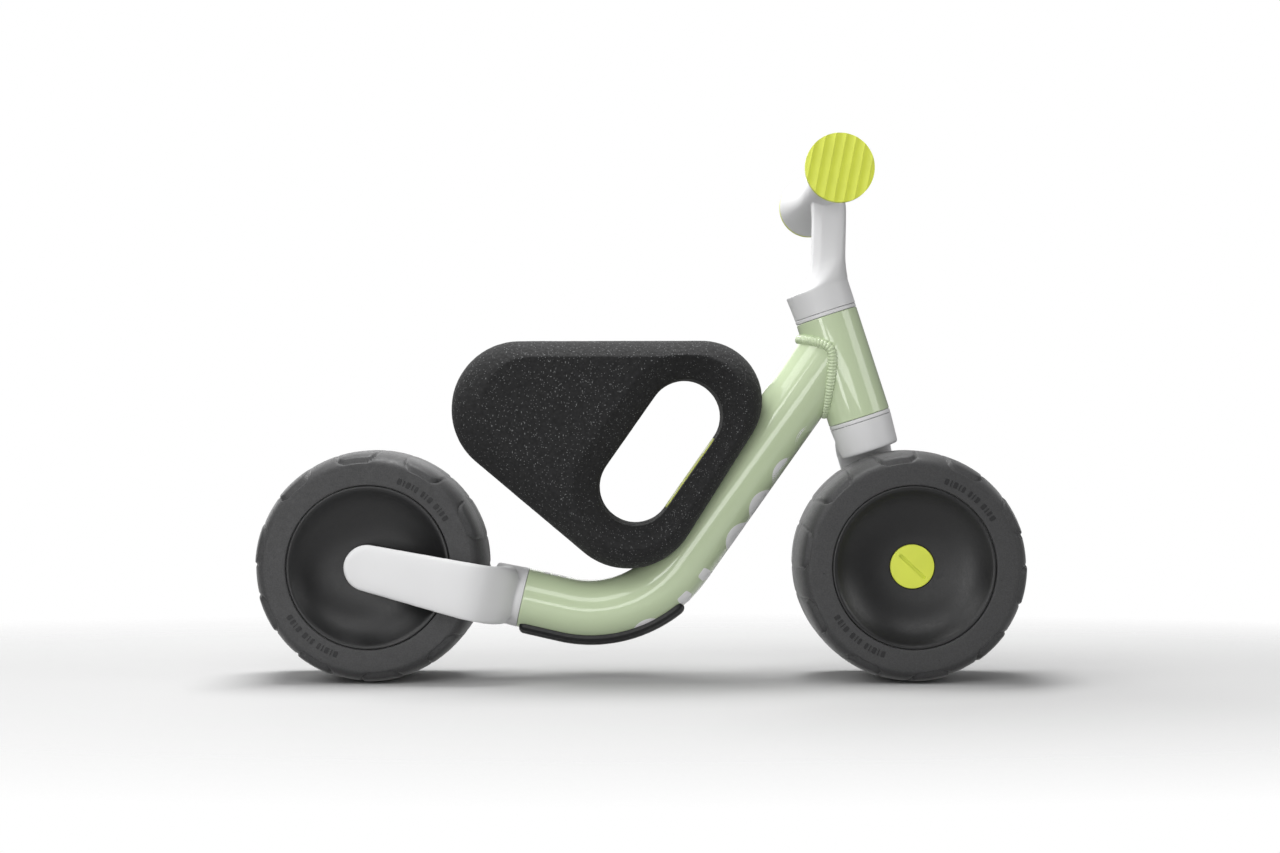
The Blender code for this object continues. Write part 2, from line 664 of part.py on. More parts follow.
def handlebar():
    """Collar, upright stem and flared crossbar in one piece, in the bike's axes."""
    lean = Matrix.Translation(FRONT_AXLE) @ Matrix.Rotation(-HEAD_TILT, 4, "Y")
    collar = turned([(0, HANDLEBAR_BOTTOM), (0.0245, HANDLEBAR_BOTTOM), (0.0254, 0.2268),
                     (0, 0.2268)], SEGMENTS_COLLAR)
    bar = solid("handlebar", moved(collar, lean))
    join(bar, loft([rounded_section(rear, front, width, z) for z, rear, front, width in STEM_SECTIONS]))
    rings = BAR_RINGS[::-1] + BAR_RINGS[1:]
    cross = []
    for index, (y, radius, x) in enumerate(rings):
        side = -1 if index < len(BAR_RINGS) else 1
        cross.append([Vector((x + a, side * y, BAR_HEIGHT + b)) for a, b in circle_points(radius, SEGMENTS_COLLAR)])
    join(bar, loft(cross))
    bore = [(0, 0.1900), (STEERER_RADIUS + GAP, 0.1900), (STEERER_RADIUS + GAP, STEERER_HIGH + GAP),
            (BOLT_RADIUS + GAP, STEERER_HIGH + GAP), (BOLT_RADIUS + GAP, 0.2310), (0, 0.2310)]
    cut(bar, moved(turned(bore, SEGMENTS_TUBE, 0.13), lean))
    for side in (-1, 1):
        socket = rod(CAP_SOCKET + GAP, 0.1270, 0.1600, SEGMENTS_SMALL)
        socket = along_y(socket, BAR_X, BAR_HEIGHT)
        if side < 0:
            socket = moved(socket, Matrix.Diagonal((1, -1, 1, 1)))
        cut(bar, socket)
    bar.data.transform(Matrix.Translation(-FRONT_AXLE))
    return bar


def grip_cap(name, side):
    """A ribbed end cap with a plug that fills the bar's socket."""
    inner_face = 0.1420 + GAP
    cap = solid(name, along_y(turned([(0, 0.1280), (CAP_SOCKET, 0.1280), (CAP_SOCKET, inner_face),
                                      (BAR_END_RADIUS, inner_face), (BAR_END_RADIUS, 0.1480),
                                      (0.0240, BAR_HALF_WIDTH), (0, BAR_HALF_WIDTH)],
                                     SEGMENTS_COLLAR)))
    pitch = 0.0072
    deep = 0.0011
    outline = [(-0.0305, BAR_HALF_WIDTH + 0.004)]
    for rib in range(-4, 4):
        for k in range(5):
            across = pitch * (rib + k / 5)
            outline.append((across, BAR_HALF_WIDTH - deep * math.sin(math.pi * k / 5)))
    outline.append((0.0300, BAR_HALF_WIDTH + 0.004))
    lean = Matrix.Rotation(math.radians(11), 4, "Y")
    cut(cap, moved(loft([[Vector((x, y, z)) for x, y in outline] for z in (-0.03, 0.03)]), lean))
    if side < 0:
        cap.data.transform(Matrix.Diagonal((1, -1, 1, 1)))
        cap.data.flip_normals()
    cap.data.transform(Matrix.Translation(Vector((BAR_X, 0, BAR_HEIGHT)) - FRONT_AXLE))
    return cap


# ---------------------------------------------------------------- wheels

BEARING_RADIUS = 0.0130
BEARING_INNER = 0.0219
BEARING_OUTER = 0.0299
CAP_RADIUS = 0.01695
CAP_FACE = 0.0360


def tyre(name):
    """A foam tyre: flat sidewalls and a soft shoulder up to a broad crown."""
    half = []
    for step in range(6):
        a = math.pi / 2 * step / 5
        y = TYRE_CROWN_HALF_WIDTH + (TYRE_HALF_WIDTH - TYRE_CROWN_HALF_WIDTH) * math.cos(a) ** 0.85
        r = SIDEWALL_OUTER_RADIUS + (WHEEL_RADIUS - SIDEWALL_OUTER_RADIUS) * math.sin(a) ** 0.85
        half.append((r, y))
    bore = HUB_RADIUS + GAP
    profile = [(bore, -TYRE_HALF_WIDTH)] + [(r, -y) for r, y in half]
    profile += half[::-1] + [(bore, TYRE_HALF_WIDTH)]
    return solid(name, along_y(turned(profile, SEGMENTS_WHEEL, math.pi / 2)))


def hub_half(name, side):
    """Half of the wheel's core: rim drum, dished face and hub barrel."""
    profile = [(HUB_RADIUS, GAP / 2), (HUB_RADIUS, 0.0516), (0.0595, 0.0516),
               (0.0500, 0.0446), (0.0380, 0.0389), (0.0205, 0.0350),
               (0.0174, 0.0350), (0.0174, 0.0326), (BEARING_RADIUS + GAP, 0.0326),
               (BEARING_RADIUS + GAP, BEARING_INNER - GAP), (0.0090, BEARING_INNER - GAP),
               (0.0090, GAP / 2), (0.0165, GAP / 2), (0.0165, 0.0290), (0.0380, 0.0354),
               (0.0500, 0.0412), (0.0590, 0.0475), (0.0590, GAP / 2)]
    if side < 0:
        profile = [(r, -y) for r, y in profile]
    return solid(name, along_y(turned(profile, SEGMENTS_HUB)))


def wheel_bearing(name, side):
    low, high = (BEARING_INNER, BEARING_OUTER) if side > 0 else (-BEARING_OUTER, -BEARING_INNER)
    return solid(name, along_y(ring(BEARING_RADIUS, AXLE_RADIUS + GAP, low, high,
                                   SEGMENTS_SMALL)))


def mirrored(thing, leg_side):
    """Swap a piece made for a leg on the left to a leg on the right."""
    if leg_side < 0:
        thing.data.transform(Matrix.Diagonal((1, -1, 1, 1)))
        thing.data.flip_normals()
    return thing


def stub_axle(name, leg_side):
    """The fixed axle from its leg to the open side, bored for the cap's stud."""
    axle = solid(name, along_y(rod(AXLE_RADIUS, -BEARING_OUTER, 0.0567)))
    cut(axle, along_y(rod(0.0030 + GAP, -0.0350, -0.0160)))
    return mirrored(axle, leg_side)


def axle_spacer(name, leg_side):
    """The sleeve between the leg's boss and the nearest bearing."""
    return mirrored(solid(name, along_y(ring(0.0080, AXLE_RADIUS + GAP, BEARING_OUTER + GAP,
                                             0.0377, SEGMENTS_SMALL))), leg_side)


def axle_cap(name, leg_side):
    """The cap that keeps the wheel on its axle, turned with a coin."""
    outline = [(0, 0.0165), (0.0030, 0.0165), (0.0030, BEARING_OUTER + GAP),
               (0.0080, BEARING_OUTER + GAP), (0.0080, 0.0332), (CAP_RADIUS, 0.0332),
               (CAP_RADIUS, CAP_FACE - 0.0006), (CAP_RADIUS - 0.0006, CAP_FACE), (0, CAP_FACE)]
    cap = solid(name, along_y(turned([(r, -y) for r, y in outline], SEGMENTS_TUBE)))
    half_slot = 0.0120
    half_thick = 0.0015
    ends = []
    for end in (1, -1):
        for k in range(5):
            a = math.pi * (k / 4 - 0.5) + (0 if end > 0 else math.pi)
            ends.append((end * half_slot + half_thick * math.cos(a), half_thick * math.sin(a)))
    slot = loft([[Vector((x, y, z)) for x, z in ends] for y in (-0.0400, -CAP_FACE + 0.0012)])
    cut(cap, moved(slot, Matrix.Rotation(math.radians(43), 4, "Y")))
    return mirrored(cap, leg_side)


# ---------------------------------------------------------------- the bike

clear_scene()

GREEN = material("sage_paint", (0.45, 0.54, 0.33), 0.22)
WHITE = material("white_satin", (0.75, 0.75, 0.76), 0.45)
FOAM = material("speckled_foam", (0.030, 0.030, 0.030), 0.85)
LIME = material("lime_plastic", (0.61, 0.70, 0.06), 0.45)
RUBBER = material("tyre_rubber", (0.075, 0.075, 0.078), 0.75)
CORE = material("wheel_core", (0.035, 0.035, 0.037), 0.55)
STEEL = material("steel", (0.55, 0.56, 0.58), 0.30, 1.0)

frame = empty("frame")
steering = empty("steering", frame, FRONT_AXLE, (0, -HEAD_TILT, 0))
front_wheel = empty("front_wheel", steering)
rear_wheel = empty("rear_wheel", frame, REAR_AXLE)
rear_leg_place = empty("rear_leg_place", frame, REAR_AXLE, REAR_LEAN)
head_place = empty("head_place", frame, FRONT_AXLE, (0, -HEAD_TILT, 0))
seat_place = empty("seat_place", frame)
seat_place.matrix_local = seat_frame()

place(main_tube(), GREEN, frame)
place(head_tube(), GREEN, head_place)
place(weld_bead(), GREEN, frame)
place(rear_arm(), WHITE, rear_leg_place)
for label, offset in zip(("rear", "front"), ARM_SCREWS):
    place(arm_screw(f"arm_screw_{label}"), STEEL, frame).matrix_local = screw_frame(offset)
place(underside_guard(), RUBBER, frame)

place(seat(), FOAM, frame)
place(seat_clamp_plate(), LIME, seat_place)
for label, offset in zip(("lower", "upper"), SEAT_BOLTS):
    place(seat_bolt(f"seat_bolt_{label}"), STEEL, seat_place).location = (offset, 0, 0)
    place(seat_nut(f"seat_nut_{label}"), STEEL, seat_place).location = (offset, 0, 0)

place(headset_bearing("lower_headset_bearing", HEAD_TUBE_BOTTOM + GAP), STEEL, head_place)
place(headset_bearing("upper_headset_bearing", HEAD_TUBE_TOP - GAP - 0.010), STEEL, head_place)
place(steering_stop_ring(), STEEL, head_place)

place(fork(), WHITE, steering)
place(steerer_tube(), STEEL, steering)
place(steering_bolt(), STEEL, steering)
place(headset_cover("lower_headset_cover", CROWN_TOP + GAP), WHITE, steering)
place(headset_cover("upper_headset_cover", HEAD_TUBE_TOP + GAP), WHITE, steering)
place(steering_stop_pin(), STEEL, steering)
place(handlebar(), WHITE, steering, (0, HEAD_TILT, 0))
place(grip_cap("grip_cap_left", 1), LIME, steering, (0, HEAD_TILT, 0))
place(grip_cap("grip_cap_right", -1), LIME, steering, (0, HEAD_TILT, 0))

upright = (0, HEAD_TILT, 0)
for end, leg_side, fixed, wheel, level in (("front", 1, steering, front_wheel, upright),
                                           ("rear", -1, frame, rear_wheel, (0, 0, 0))):
    for piece, paint in ((stub_axle(f"{end}_axle", leg_side), STEEL),
                         (axle_spacer(f"{end}_axle_spacer", leg_side), STEEL),
                         (axle_cap(f"{end}_axle_cap", leg_side), LIME)):
        place(piece, paint, fixed, level)
        if fixed is frame:
            piece.location = REAR_AXLE
    place(tyre(f"{end}_tyre"), RUBBER, wheel, level)
    for label, side in (("left", 1), ("right", -1)):
        place(hub_half(f"{end}_hub_{label}", side), CORE, wheel, level)
        place(wheel_bearing(f"{end}_bearing_{label}", side), STEEL, wheel, level)
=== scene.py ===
"""The looks of a toddler's balance bike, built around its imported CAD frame.

Metres, +X is the way the bike rides, +Y is the rider's left and +Z is up.
Each visible piece is modelled finely here and rides on the CAD body it belongs to.
"""

import json
import math

import bmesh
import bpy
from mathutils import Matrix, Vector, noise


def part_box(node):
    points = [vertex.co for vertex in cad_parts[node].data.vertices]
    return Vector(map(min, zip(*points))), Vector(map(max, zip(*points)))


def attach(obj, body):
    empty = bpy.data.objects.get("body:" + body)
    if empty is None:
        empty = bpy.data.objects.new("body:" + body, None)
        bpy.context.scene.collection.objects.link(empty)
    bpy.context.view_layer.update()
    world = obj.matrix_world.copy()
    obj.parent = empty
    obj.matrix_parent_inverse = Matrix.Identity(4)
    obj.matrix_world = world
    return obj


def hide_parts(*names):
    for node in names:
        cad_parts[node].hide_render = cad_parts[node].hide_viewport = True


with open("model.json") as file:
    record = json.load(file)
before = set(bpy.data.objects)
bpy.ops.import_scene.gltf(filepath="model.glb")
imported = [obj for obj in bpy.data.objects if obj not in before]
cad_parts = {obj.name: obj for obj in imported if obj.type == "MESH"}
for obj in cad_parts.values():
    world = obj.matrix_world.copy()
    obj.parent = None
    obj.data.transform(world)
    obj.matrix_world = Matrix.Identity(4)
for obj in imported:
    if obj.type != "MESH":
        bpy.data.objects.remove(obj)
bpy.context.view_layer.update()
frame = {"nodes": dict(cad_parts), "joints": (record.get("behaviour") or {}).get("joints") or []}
JOINTS = {joint["name"]: joint for joint in frame["joints"]}

# ------------------------ sizes taken from the frame

FRONT_AXLE = Vector(JOINTS["front_wheel_spin"]["pos_m"])
REAR_AXLE = Vector(JOINTS["rear_wheel_spin"]["pos_m"])
STEER_AXIS = Vector(JOINTS["steering_turn"]["axis"]).normalized()
HEAD_TILT = math.atan2(-STEER_AXIS.x, STEER_AXIS.z)
WHEEL_RADIUS = FRONT_AXLE.z
TYRE_HALF_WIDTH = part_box("front_tyre")[1].y
HUB_RADIUS = (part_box("front_hub_left")[1].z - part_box("front_hub_left")[0].z) / 2
SEAT_HALF_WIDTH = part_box("seat")[1].y
BAR_HALF_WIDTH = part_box("grip_cap_left")[1].y
CAP_LOW, CAP_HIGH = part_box("grip_cap_left")
BAR_CENTRE = (CAP_LOW + CAP_HIGH) / 2
BAR_END_RADIUS = (CAP_HIGH.z - CAP_LOW.z) / 2

# ------------------------ sizes shared with the CAD design

GAP = 0.0003
TUBE_ANGLE = math.radians(55.0)
TUBE_JOINT = FRONT_AXLE + STEER_AXIS * 0.1815
TUBE_DIRECTION = Vector((math.cos(TUBE_ANGLE), 0, math.sin(TUBE_ANGLE)))
TUBE_UNDER = Vector((TUBE_DIRECTION.z, 0, -TUBE_DIRECTION.x))
REAR_TUBE_DROP = math.radians(12.8)
REAR_DIRECTION = Vector((math.cos(REAR_TUBE_DROP), 0, -math.sin(REAR_TUBE_DROP)))
TUBE_RADIUS_REAR = 0.0235
TUBE_RADIUS_HEAD = 0.0245
TUBE_TAPER_LENGTH = 0.235
TUBE_WALL = 0.0022
TUBE_BEND_RADIUS = 0.0870
REAR_SEAM = 0.1190
HEAD_TUBE_RADIUS = 0.0245
HEAD_TUBE_BORE = 0.0220
HEAD_TUBE_BOTTOM = 0.1210
HEAD_TUBE_TOP = 0.2040
CROWN_TOP = HEAD_TUBE_BOTTOM - 0.0036
HANDLEBAR_BOTTOM = HEAD_TUBE_TOP + 0.0036
COVER_BORE = 0.0133
COVER_THICKNESS = 0.003
SIDEWALL_OUTER_RADIUS = 0.0777
TYRE_CROWN_HALF_WIDTH = 0.0110
SLOT_CENTRE = Vector((0.0149, 0, 0.1766))
SLOT_HALF_SPAN = 0.0340
SLOT_RADIUS = 0.0284

HEAD_PLACE = Matrix.Translation(FRONT_AXLE) @ Matrix.Rotation(-HEAD_TILT, 4, "Y")
REAR_LEG_PLACE = (Matrix.Translation(REAR_AXLE)
                  @ Matrix.Rotation(math.pi / 2 + REAR_TUBE_DROP, 4, "Y"))
MIRROR_Y = Matrix.Diagonal((1, -1, 1, 1))

# ------------------------ mesh helpers


def mesh_of(points, faces):
    mesh = bpy.data.meshes.new("piece")
    mesh.from_pydata([tuple(point) for point in points], [], faces)
    return mesh


def tidied(mesh):
    """Merge doubled points and make every face point out."""
    work = bmesh.new()
    work.from_mesh(mesh)
    bmesh.ops.remove_doubles(work, verts=work.verts, dist=1e-7)
    bmesh.ops.recalc_face_normals(work, faces=work.faces)
    work.to_mesh(mesh)
    work.free()
    return mesh


def skin(rows, close_rows=False):
    """Quads between equal rings of points; open ends are capped."""
    count = len(rows[0])
    points = [point for row in rows for point in row]
    faces = []
    for a in range(len(rows) if close_rows else len(rows) - 1):
        b = (a + 1) % len(rows)
        for i in range(count):
            j = (i + 1) % count
            faces.append((a * count + i, a * count + j, b * count + j, b * count + i))
    if not close_rows:
        faces.append(tuple(range(count)))
        faces.append(tuple(range(len(points) - count, len(points))))
    return tidied(mesh_of(points, faces))


def turns(count):
    """Angles evenly spaced round a full turn."""
    return [2 * math.pi * i / count for i in range(count)]


def arc(x, y, radius, start, sweep, steps):
    """Points of an arc with both its ends; angles in radians."""
    return [(x + radius * math.cos(start + sweep * k / steps),
             y + radius * math.sin(start + sweep * k / steps)) for k in range(steps + 1)]


def squared_off(turn, power):
    """An angle's cosine and sine, pushed out from a circle towards a square."""
    return [math.copysign(abs(part) ** power, part) for part in (math.cos(turn), math.sin(turn))]


def revolved(profile, segments=128):
    """Turn a closed (radius, height) outline about +Z."""
    return skin([[Vector((radius * math.cos(turn), radius * math.sin(turn), height))
                  for turn in turns(segments)] for radius, height in profile], True)


def prism(outline, low, high):
    """An outline in X and Y drawn out along Z."""
    return skin([[Vector((x, y, z)) for x, y in outline] for z in (low, high)])


def placed(mesh, matrix):
    mesh.transform(matrix)
    if matrix.determinant() < 0:
        mesh.flip_normals()
    return mesh


def along_y(mesh, side=1.0, centre=Vector((0, 0, 0))):
    """Lay a shape made along +Z along +Y, or along -Y when side is negative."""
    lay = Matrix.Rotation(-math.pi / 2, 4, "X")
    flip = MIRROR_Y if side < 0 else Matrix.Identity(4)
    return placed(mesh, Matrix.Translation(centre) @ flip @ lay)


def rounded(profile, radius, steps=4):
    """Round the corners of a closed outline given as (a, b, keep) or (a, b)."""
    made = []
    count = len(profile)
    for i, corner in enumerate(profile):
        here = Vector(corner[:2])
        before = Vector(profile[i - 1][:2]) - here
        after = Vector(profile[(i + 1) % count][:2]) - here
        reach = min(radius, before.length * 0.45, after.length * 0.45)
        if len(corner) > 2 or here.x == 0:
            made.append(tuple(here))
            continue
        start = here + before.normalized() * reach
        end = here + after.normalized() * reach
        for k in range(steps + 1):
            t = k / steps
            made.append(tuple(start * (1 - t) ** 2 + here * (2 * t * (1 - t)) + end * t ** 2))
    return made


def curve_through(points, steps):
    """A smooth curve through the given points (any number of coordinates)."""
    ends = [points[0]] + list(points) + [points[-1]]
    made = []
    for a, b, c, d in zip(ends, ends[1:], ends[2:], ends[3:]):
        for k in range(steps):
            t = k / steps
            made.append(tuple(
                0.5 * (2 * q + (r - p) * t + (2 * p - 5 * q + 4 * r - s) * t * t
                       + (3 * q - p - 3 * r + s) * t ** 3)
                for p, q, r, s in zip(a, b, c, d)))
    made.append(tuple(points[-1]))
    return made


def linked(name, data):
    """A new object in the scene; it rides on nothing."""
    thing = bpy.data.objects.new(name, data)
    bpy.context.collection.objects.link(thing)
    return thing


def baked(thing):
    """The object's evaluated mesh; the object itself is removed."""
    bpy.context.view_layer.update()
    graph = bpy.context.evaluated_depsgraph_get()
    mesh = bpy.data.meshes.new_from_object(thing.evaluated_get(graph))
    bpy.data.objects.remove(thing)
    return mesh


def cut(mesh, tool_mesh):
    """Take one closed shape away from another."""
    target = linked("work", mesh)
    tool = linked("tool", tool_mesh)
    modifier = target.modifiers.new("cut", "BOOLEAN")
    modifier.operation = "DIFFERENCE"
    modifier.solver = "MANIFOLD"
    modifier.object = tool
    made = baked(target)
    bpy.data.objects.remove(tool)
    return made


def joined(meshes):
    """Several meshes as one."""
    work = bmesh.new()
    for mesh in meshes:
        work.from_mesh(mesh)
    made = bpy.data.meshes.new("joined")
    work.to_mesh(made)
    work.free()
    return made


def fused(meshes, voxel, smoothing):
    """Melt overlapping closed shapes into one moulded body with soft inner corners."""
    thing = linked("work", joined(meshes))
    remesh = thing.modifiers.new("remesh", "REMESH")
    remesh.mode = "VOXEL"
    remesh.voxel_size = voxel
    smooth = thing.modifiers.new("smooth", "SMOOTH")
    smooth.iterations = smoothing
    smooth.factor = 0.5
    return baked(thing)


def sliced(mesh, point, outward):
    """Cut everything beyond a plane away and close the cut with a crisp flat face."""
    work = bmesh.new()
    work.from_mesh(mesh)
    parts = work.verts[:] + work.edges[:] + work.faces[:]
    bmesh.ops.bisect_plane(work, geom=parts, plane_co=point, plane_no=outward,
                           clear_outer=True, dist=1e-6)
    rim = [edge for edge in work.edges if edge.is_boundary]
    bmesh.ops.holes_fill(work, edges=rim, sides=0)
    bmesh.ops.recalc_face_normals(work, faces=work.faces)
    work.to_mesh(mesh)
    work.free()
    return mesh


def piece(name, mesh, paint, body, stands_for=(), crease=32):
    """Turn a finished mesh into a visible piece that rides on a body."""
    mesh.materials.clear()
    mesh.materials.append(paint)
    mesh.shade_smooth()
    mesh.set_sharp_from_angle(angle=math.radians(crease))
    thing = linked(name, mesh)
    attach(thing, body)
    if stands_for:
        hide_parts(*stands_for)
    return thing


# ------------------------ material helpers


class Paint:
    """A Principled material whose colour, roughness and relief come from procedural nodes."""

    def __init__(self, name, colour, roughness, metallic=0.0):
        self.material = bpy.data.materials.new(name)
        self.material.use_nodes = True
        self.nodes = self.material.node_tree.nodes
        self.links = self.material.node_tree.links
        self.shader = self.nodes["Principled BSDF"]
        self.shader.inputs["Base Color"].default_value = (*colour, 1.0)
        self.shader.inputs["Roughness"].default_value = roughness
        self.shader.inputs["Metallic"].default_value = metallic
        self.colour = colour
        self.coordinates = self.nodes.new("ShaderNodeTexCoord").outputs["Object"]

    def set(self, **values):
        for label, value in values.items():
            self.shader.inputs[label.replace("_", " ")].default_value = value

    def node(self, kind, source=None, into="Vector", **values):
        """A new node fed by a socket, or by the object's own coordinates."""
        made = self.nodes.new(kind)
        for label, value in values.items():
            made.inputs[label.replace("_", " ")].default_value = value
        self.links.new(source or self.coordinates, made.inputs[into])
        return made

    def mapped(self, scale=(1, 1, 1), turn=(0, 0, 0)):
        return self.node("ShaderNodeMapping", Scale=scale, Rotation=turn).outputs["Vector"]

    def noise(self, scale, detail=2.0, where=None):
        return self.node("ShaderNodeTexNoise", where, Scale=scale, Detail=detail).outputs["Fac"]

    def cells(self, scale, output, where=None):
        return self.node("ShaderNodeTexVoronoi", where, Scale=scale).outputs[output]

    def ranged(self, value, low, high, new_low=0.0, new_high=1.0):
        return self.node("ShaderNodeMapRange", value, "Value", From_Min=low, From_Max=high,
                         To_Min=new_low, To_Max=new_high).outputs["Result"]

    def combined(self, operation, first, second):
        made = self.node("ShaderNodeMath", first, 0)
        made.operation = operation
        self.links.new(second, made.inputs[1])
        return made.outputs[0]

    def mixed(self, factor, low, high):
        """A colour between two colours; low may be a socket made before."""
        node = self.node("ShaderNodeMix", factor, "Factor")
        node.data_type = "RGBA"
        for slot_name, value in (("A", low), ("B", high)):
            socket = [s for s in node.inputs if s.name == slot_name and s.type == "RGBA"][0]
            if isinstance(value, tuple):
                socket.default_value = (*value, 1.0)
            else:
                self.links.new(value, socket)
        return [s for s in node.outputs if s.type == "RGBA"][0]

    def vary_roughness(self, scale, low, high):
        self.use_roughness(self.ranged(self.noise(scale), 0.3, 0.7, low, high))

    def shade(self, amount):
        """The paint's own colour, lighter or darker by a share."""
        return tuple(min(1.0, part * amount) for part in self.colour)

    def use_colour(self, socket):
        self.links.new(socket, self.shader.inputs["Base Color"])

    def use_roughness(self, socket):
        self.links.new(socket, self.shader.inputs["Roughness"])

    def bump(self, *layers):
        """Relief from (height socket, depth in metres) layers, coarsest first."""
        under = None
        for height, depth in layers:
            node = self.node("ShaderNodeBump", height, "Height", Strength=1.0, Distance=depth)
            if under is not None:
                self.links.new(under, node.inputs["Normal"])
            under = node.outputs["Normal"]
        self.links.new(under, self.shader.inputs["Normal"])


def grained_paint(name, colour, roughness, mottle, gloss, grain, spread=(0.3, 0.7), **settings):
    """A paint with a faint drift of colour and roughness over a fine relief.

    mottle and gloss are a noise scale and two limits; grain is a scale, detail and depth.
    """
    made = Paint(name, colour, roughness)
    made.set(**settings)
    drift = made.ranged(made.noise(mottle[0]), *spread)
    made.use_colour(made.mixed(drift, made.shade(mottle[1]), made.shade(mottle[2])))
    made.vary_roughness(*gloss)
    made.bump((made.noise(*grain[:2]), grain[2]))
    return made.material


# each fleck layer: cells per metre, stretch, turn, fleck radius, share of cells left bare
FLECK_LAYERS = ((420.0, (1, 1, 1), (0, 0, 0), 0.17, 0.60),
                (360.0, (1, 1, 0.42), (0.9, 0.6, 0.2), 0.15, 0.58),
                (380.0, (0.40, 1, 1), (0.3, 0.8, 1.1), 0.15, 0.60),
                (640.0, (1, 1, 1), (0.5, 0.1, 0.7), 0.24, 0.54))
FLECK_COLOUR = (0.17, 0.175, 0.175)


def speckled_foam():
    """Dark expanded-bead foam: faint bead cells, a pebbled skin and pale flecks."""
    made = Paint("speckled_foam", (0.0150, 0.0150, 0.0155), 0.80)
    beads = made.cells(330.0, "Distance")
    base = made.mixed(made.ranged(beads, 0.1, 0.75), made.shade(1.22), made.shade(0.80))
    flecks = None
    for scale, stretch, turn, reach, bare in FLECK_LAYERS:
        where = made.mapped(stretch, turn)
        dot = made.ranged(made.cells(scale, "Distance", where), reach, reach * 0.55)
        pick = made.ranged(made.cells(scale, "Color", where), bare, bare + 0.04)
        mask = made.combined("MULTIPLY", dot, pick)
        flecks = mask if flecks is None else made.combined("MAXIMUM", flecks, mask)
    made.use_colour(made.mixed(flecks, base, FLECK_COLOUR))
    made.vary_roughness(500.0, 0.78, 0.95)
    made.set(Sheen_Weight=0.06, Sheen_Roughness=0.5, Specular_IOR_Level=0.30)
    made.bump((made.ranged(beads, 0.0, 0.8, 1.0, 0.0), 0.00022), (made.noise(950.0, 3.0), 0.00022))
    return made.material


def tyre_foam(name="tyre_foam", colour=(0.042, 0.042, 0.043)):
    """Matt grey-black foam rubber with a sandy grain and a few dark pits."""
    made = Paint(name, colour, 0.60)
    grain = made.ranged(made.noise(900.0, 3.0), 0.35, 0.65)
    base = made.mixed(grain, made.shade(0.86), made.shade(1.16))
    where = made.mapped((1, 1, 1), (0.4, 0.9, 0.3))
    pits_per_metre = 85.0
    dot = made.ranged(made.cells(pits_per_metre, "Distance", where), 0.055, 0.03)
    pick = made.ranged(made.cells(pits_per_metre, "Color", where), 0.62, 0.66)
    pits = made.combined("MULTIPLY", dot, pick)
    made.use_colour(made.mixed(pits, base, made.shade(0.30)))
    made.vary_roughness(320.0, 0.50, 0.64)
    made.set(Specular_IOR_Level=0.42, Sheen_Weight=0.30, Sheen_Roughness=0.35)
    made.bump((made.noise(1100.0, 3.0), 0.00010))
    return made.material


def plain_steel():
    """Turned steel with fine drawn lines."""
    made = Paint("plain_steel", (0.56, 0.57, 0.58), 0.30, 1.0)
    lines = made.noise(900.0, 3.0, made.mapped((1, 0.08, 1)))
    made.use_colour(made.mixed(made.ranged(lines, 0.3, 0.7), made.shade(0.90), made.shade(1.06)))
    made.use_roughness(made.ranged(lines, 0.3, 0.7, 0.24, 0.38))
    made.bump((lines, 0.00002))
    return made.material


# gloss paint under a clear coat, with a faint orange peel
SAGE = grained_paint("sage_paint", (0.545, 0.645, 0.420), 0.34, (14.0, 0.975, 1.025),
                     (260.0, 0.30, 0.38), (420.0, 1.0, 0.0000035), Coat_Weight=1.0,
                     Coat_Roughness=0.035, Coat_IOR=1.5, Specular_IOR_Level=0.35)
# satin moulded plastic with a fine spark-eroded grain
SATIN = (0.42, (22.0, 0.985, 1.01), (700.0, 0.38, 0.48), (1500.0, 3.0, 0.000035))
WHITE = grained_paint("white_satin", (0.70, 0.70, 0.705), *SATIN)
PRINT_WHITE = grained_paint("print_white", (0.86, 0.86, 0.865), *SATIN)
CORE = grained_paint("wheel_core", (0.0085, 0.0085, 0.0090), 0.46, (1100.0, 0.88, 1.12),
                     (600.0, 0.34, 0.46), (1500.0, 2.0, 0.00004), (0.35, 0.65),
                     Specular_IOR_Level=0.5)
LIME = grained_paint("lime_plastic", (0.680, 0.745, 0.072), 0.46, (60.0, 0.97, 1.03),
                     (800.0, 0.42, 0.52), (1500.0, 3.0, 0.00003))
RUBBER = grained_paint("guard_rubber", (0.010, 0.010, 0.011), 0.5, (500.0, 0.85, 1.2),
                       (400.0, 0.42, 0.58), (900.0, 2.0, 0.00004))
FOAM = speckled_foam()
TYRE = tyre_foam()
TYRE_MARK = tyre_foam("tyre_mark", (0.012, 0.012, 0.013))
STEEL = plain_steel()

# ------------------------ main tube


def bend_frame():
    """The bend's first point and its centre of curvature."""
    across = REAR_DIRECTION.x * TUBE_DIRECTION.z - REAR_DIRECTION.z * TUBE_DIRECTION.x
    gap = TUBE_JOINT - REAR_AXLE
    to_corner = (gap.x * TUBE_DIRECTION.z - gap.z * TUBE_DIRECTION.x) / across
    corner = REAR_AXLE + REAR_DIRECTION * to_corner
    tangent = TUBE_BEND_RADIUS * math.tan((REAR_TUBE_DROP + TUBE_ANGLE) / 2)
    start = corner - REAR_DIRECTION * tangent
    up = Vector((math.sin(REAR_TUBE_DROP), 0, math.cos(REAR_TUBE_DROP)))
    return start, start + up * TUBE_BEND_RADIUS


BEND_START, BEND_CENTRE = bend_frame()
SEAM_POINT = REAR_AXLE + REAR_DIRECTION * REAR_SEAM
REAR_RUN = (BEND_START - SEAM_POINT).length
BEND_RUN = TUBE_BEND_RADIUS * (REAR_TUBE_DROP + TUBE_ANGLE)


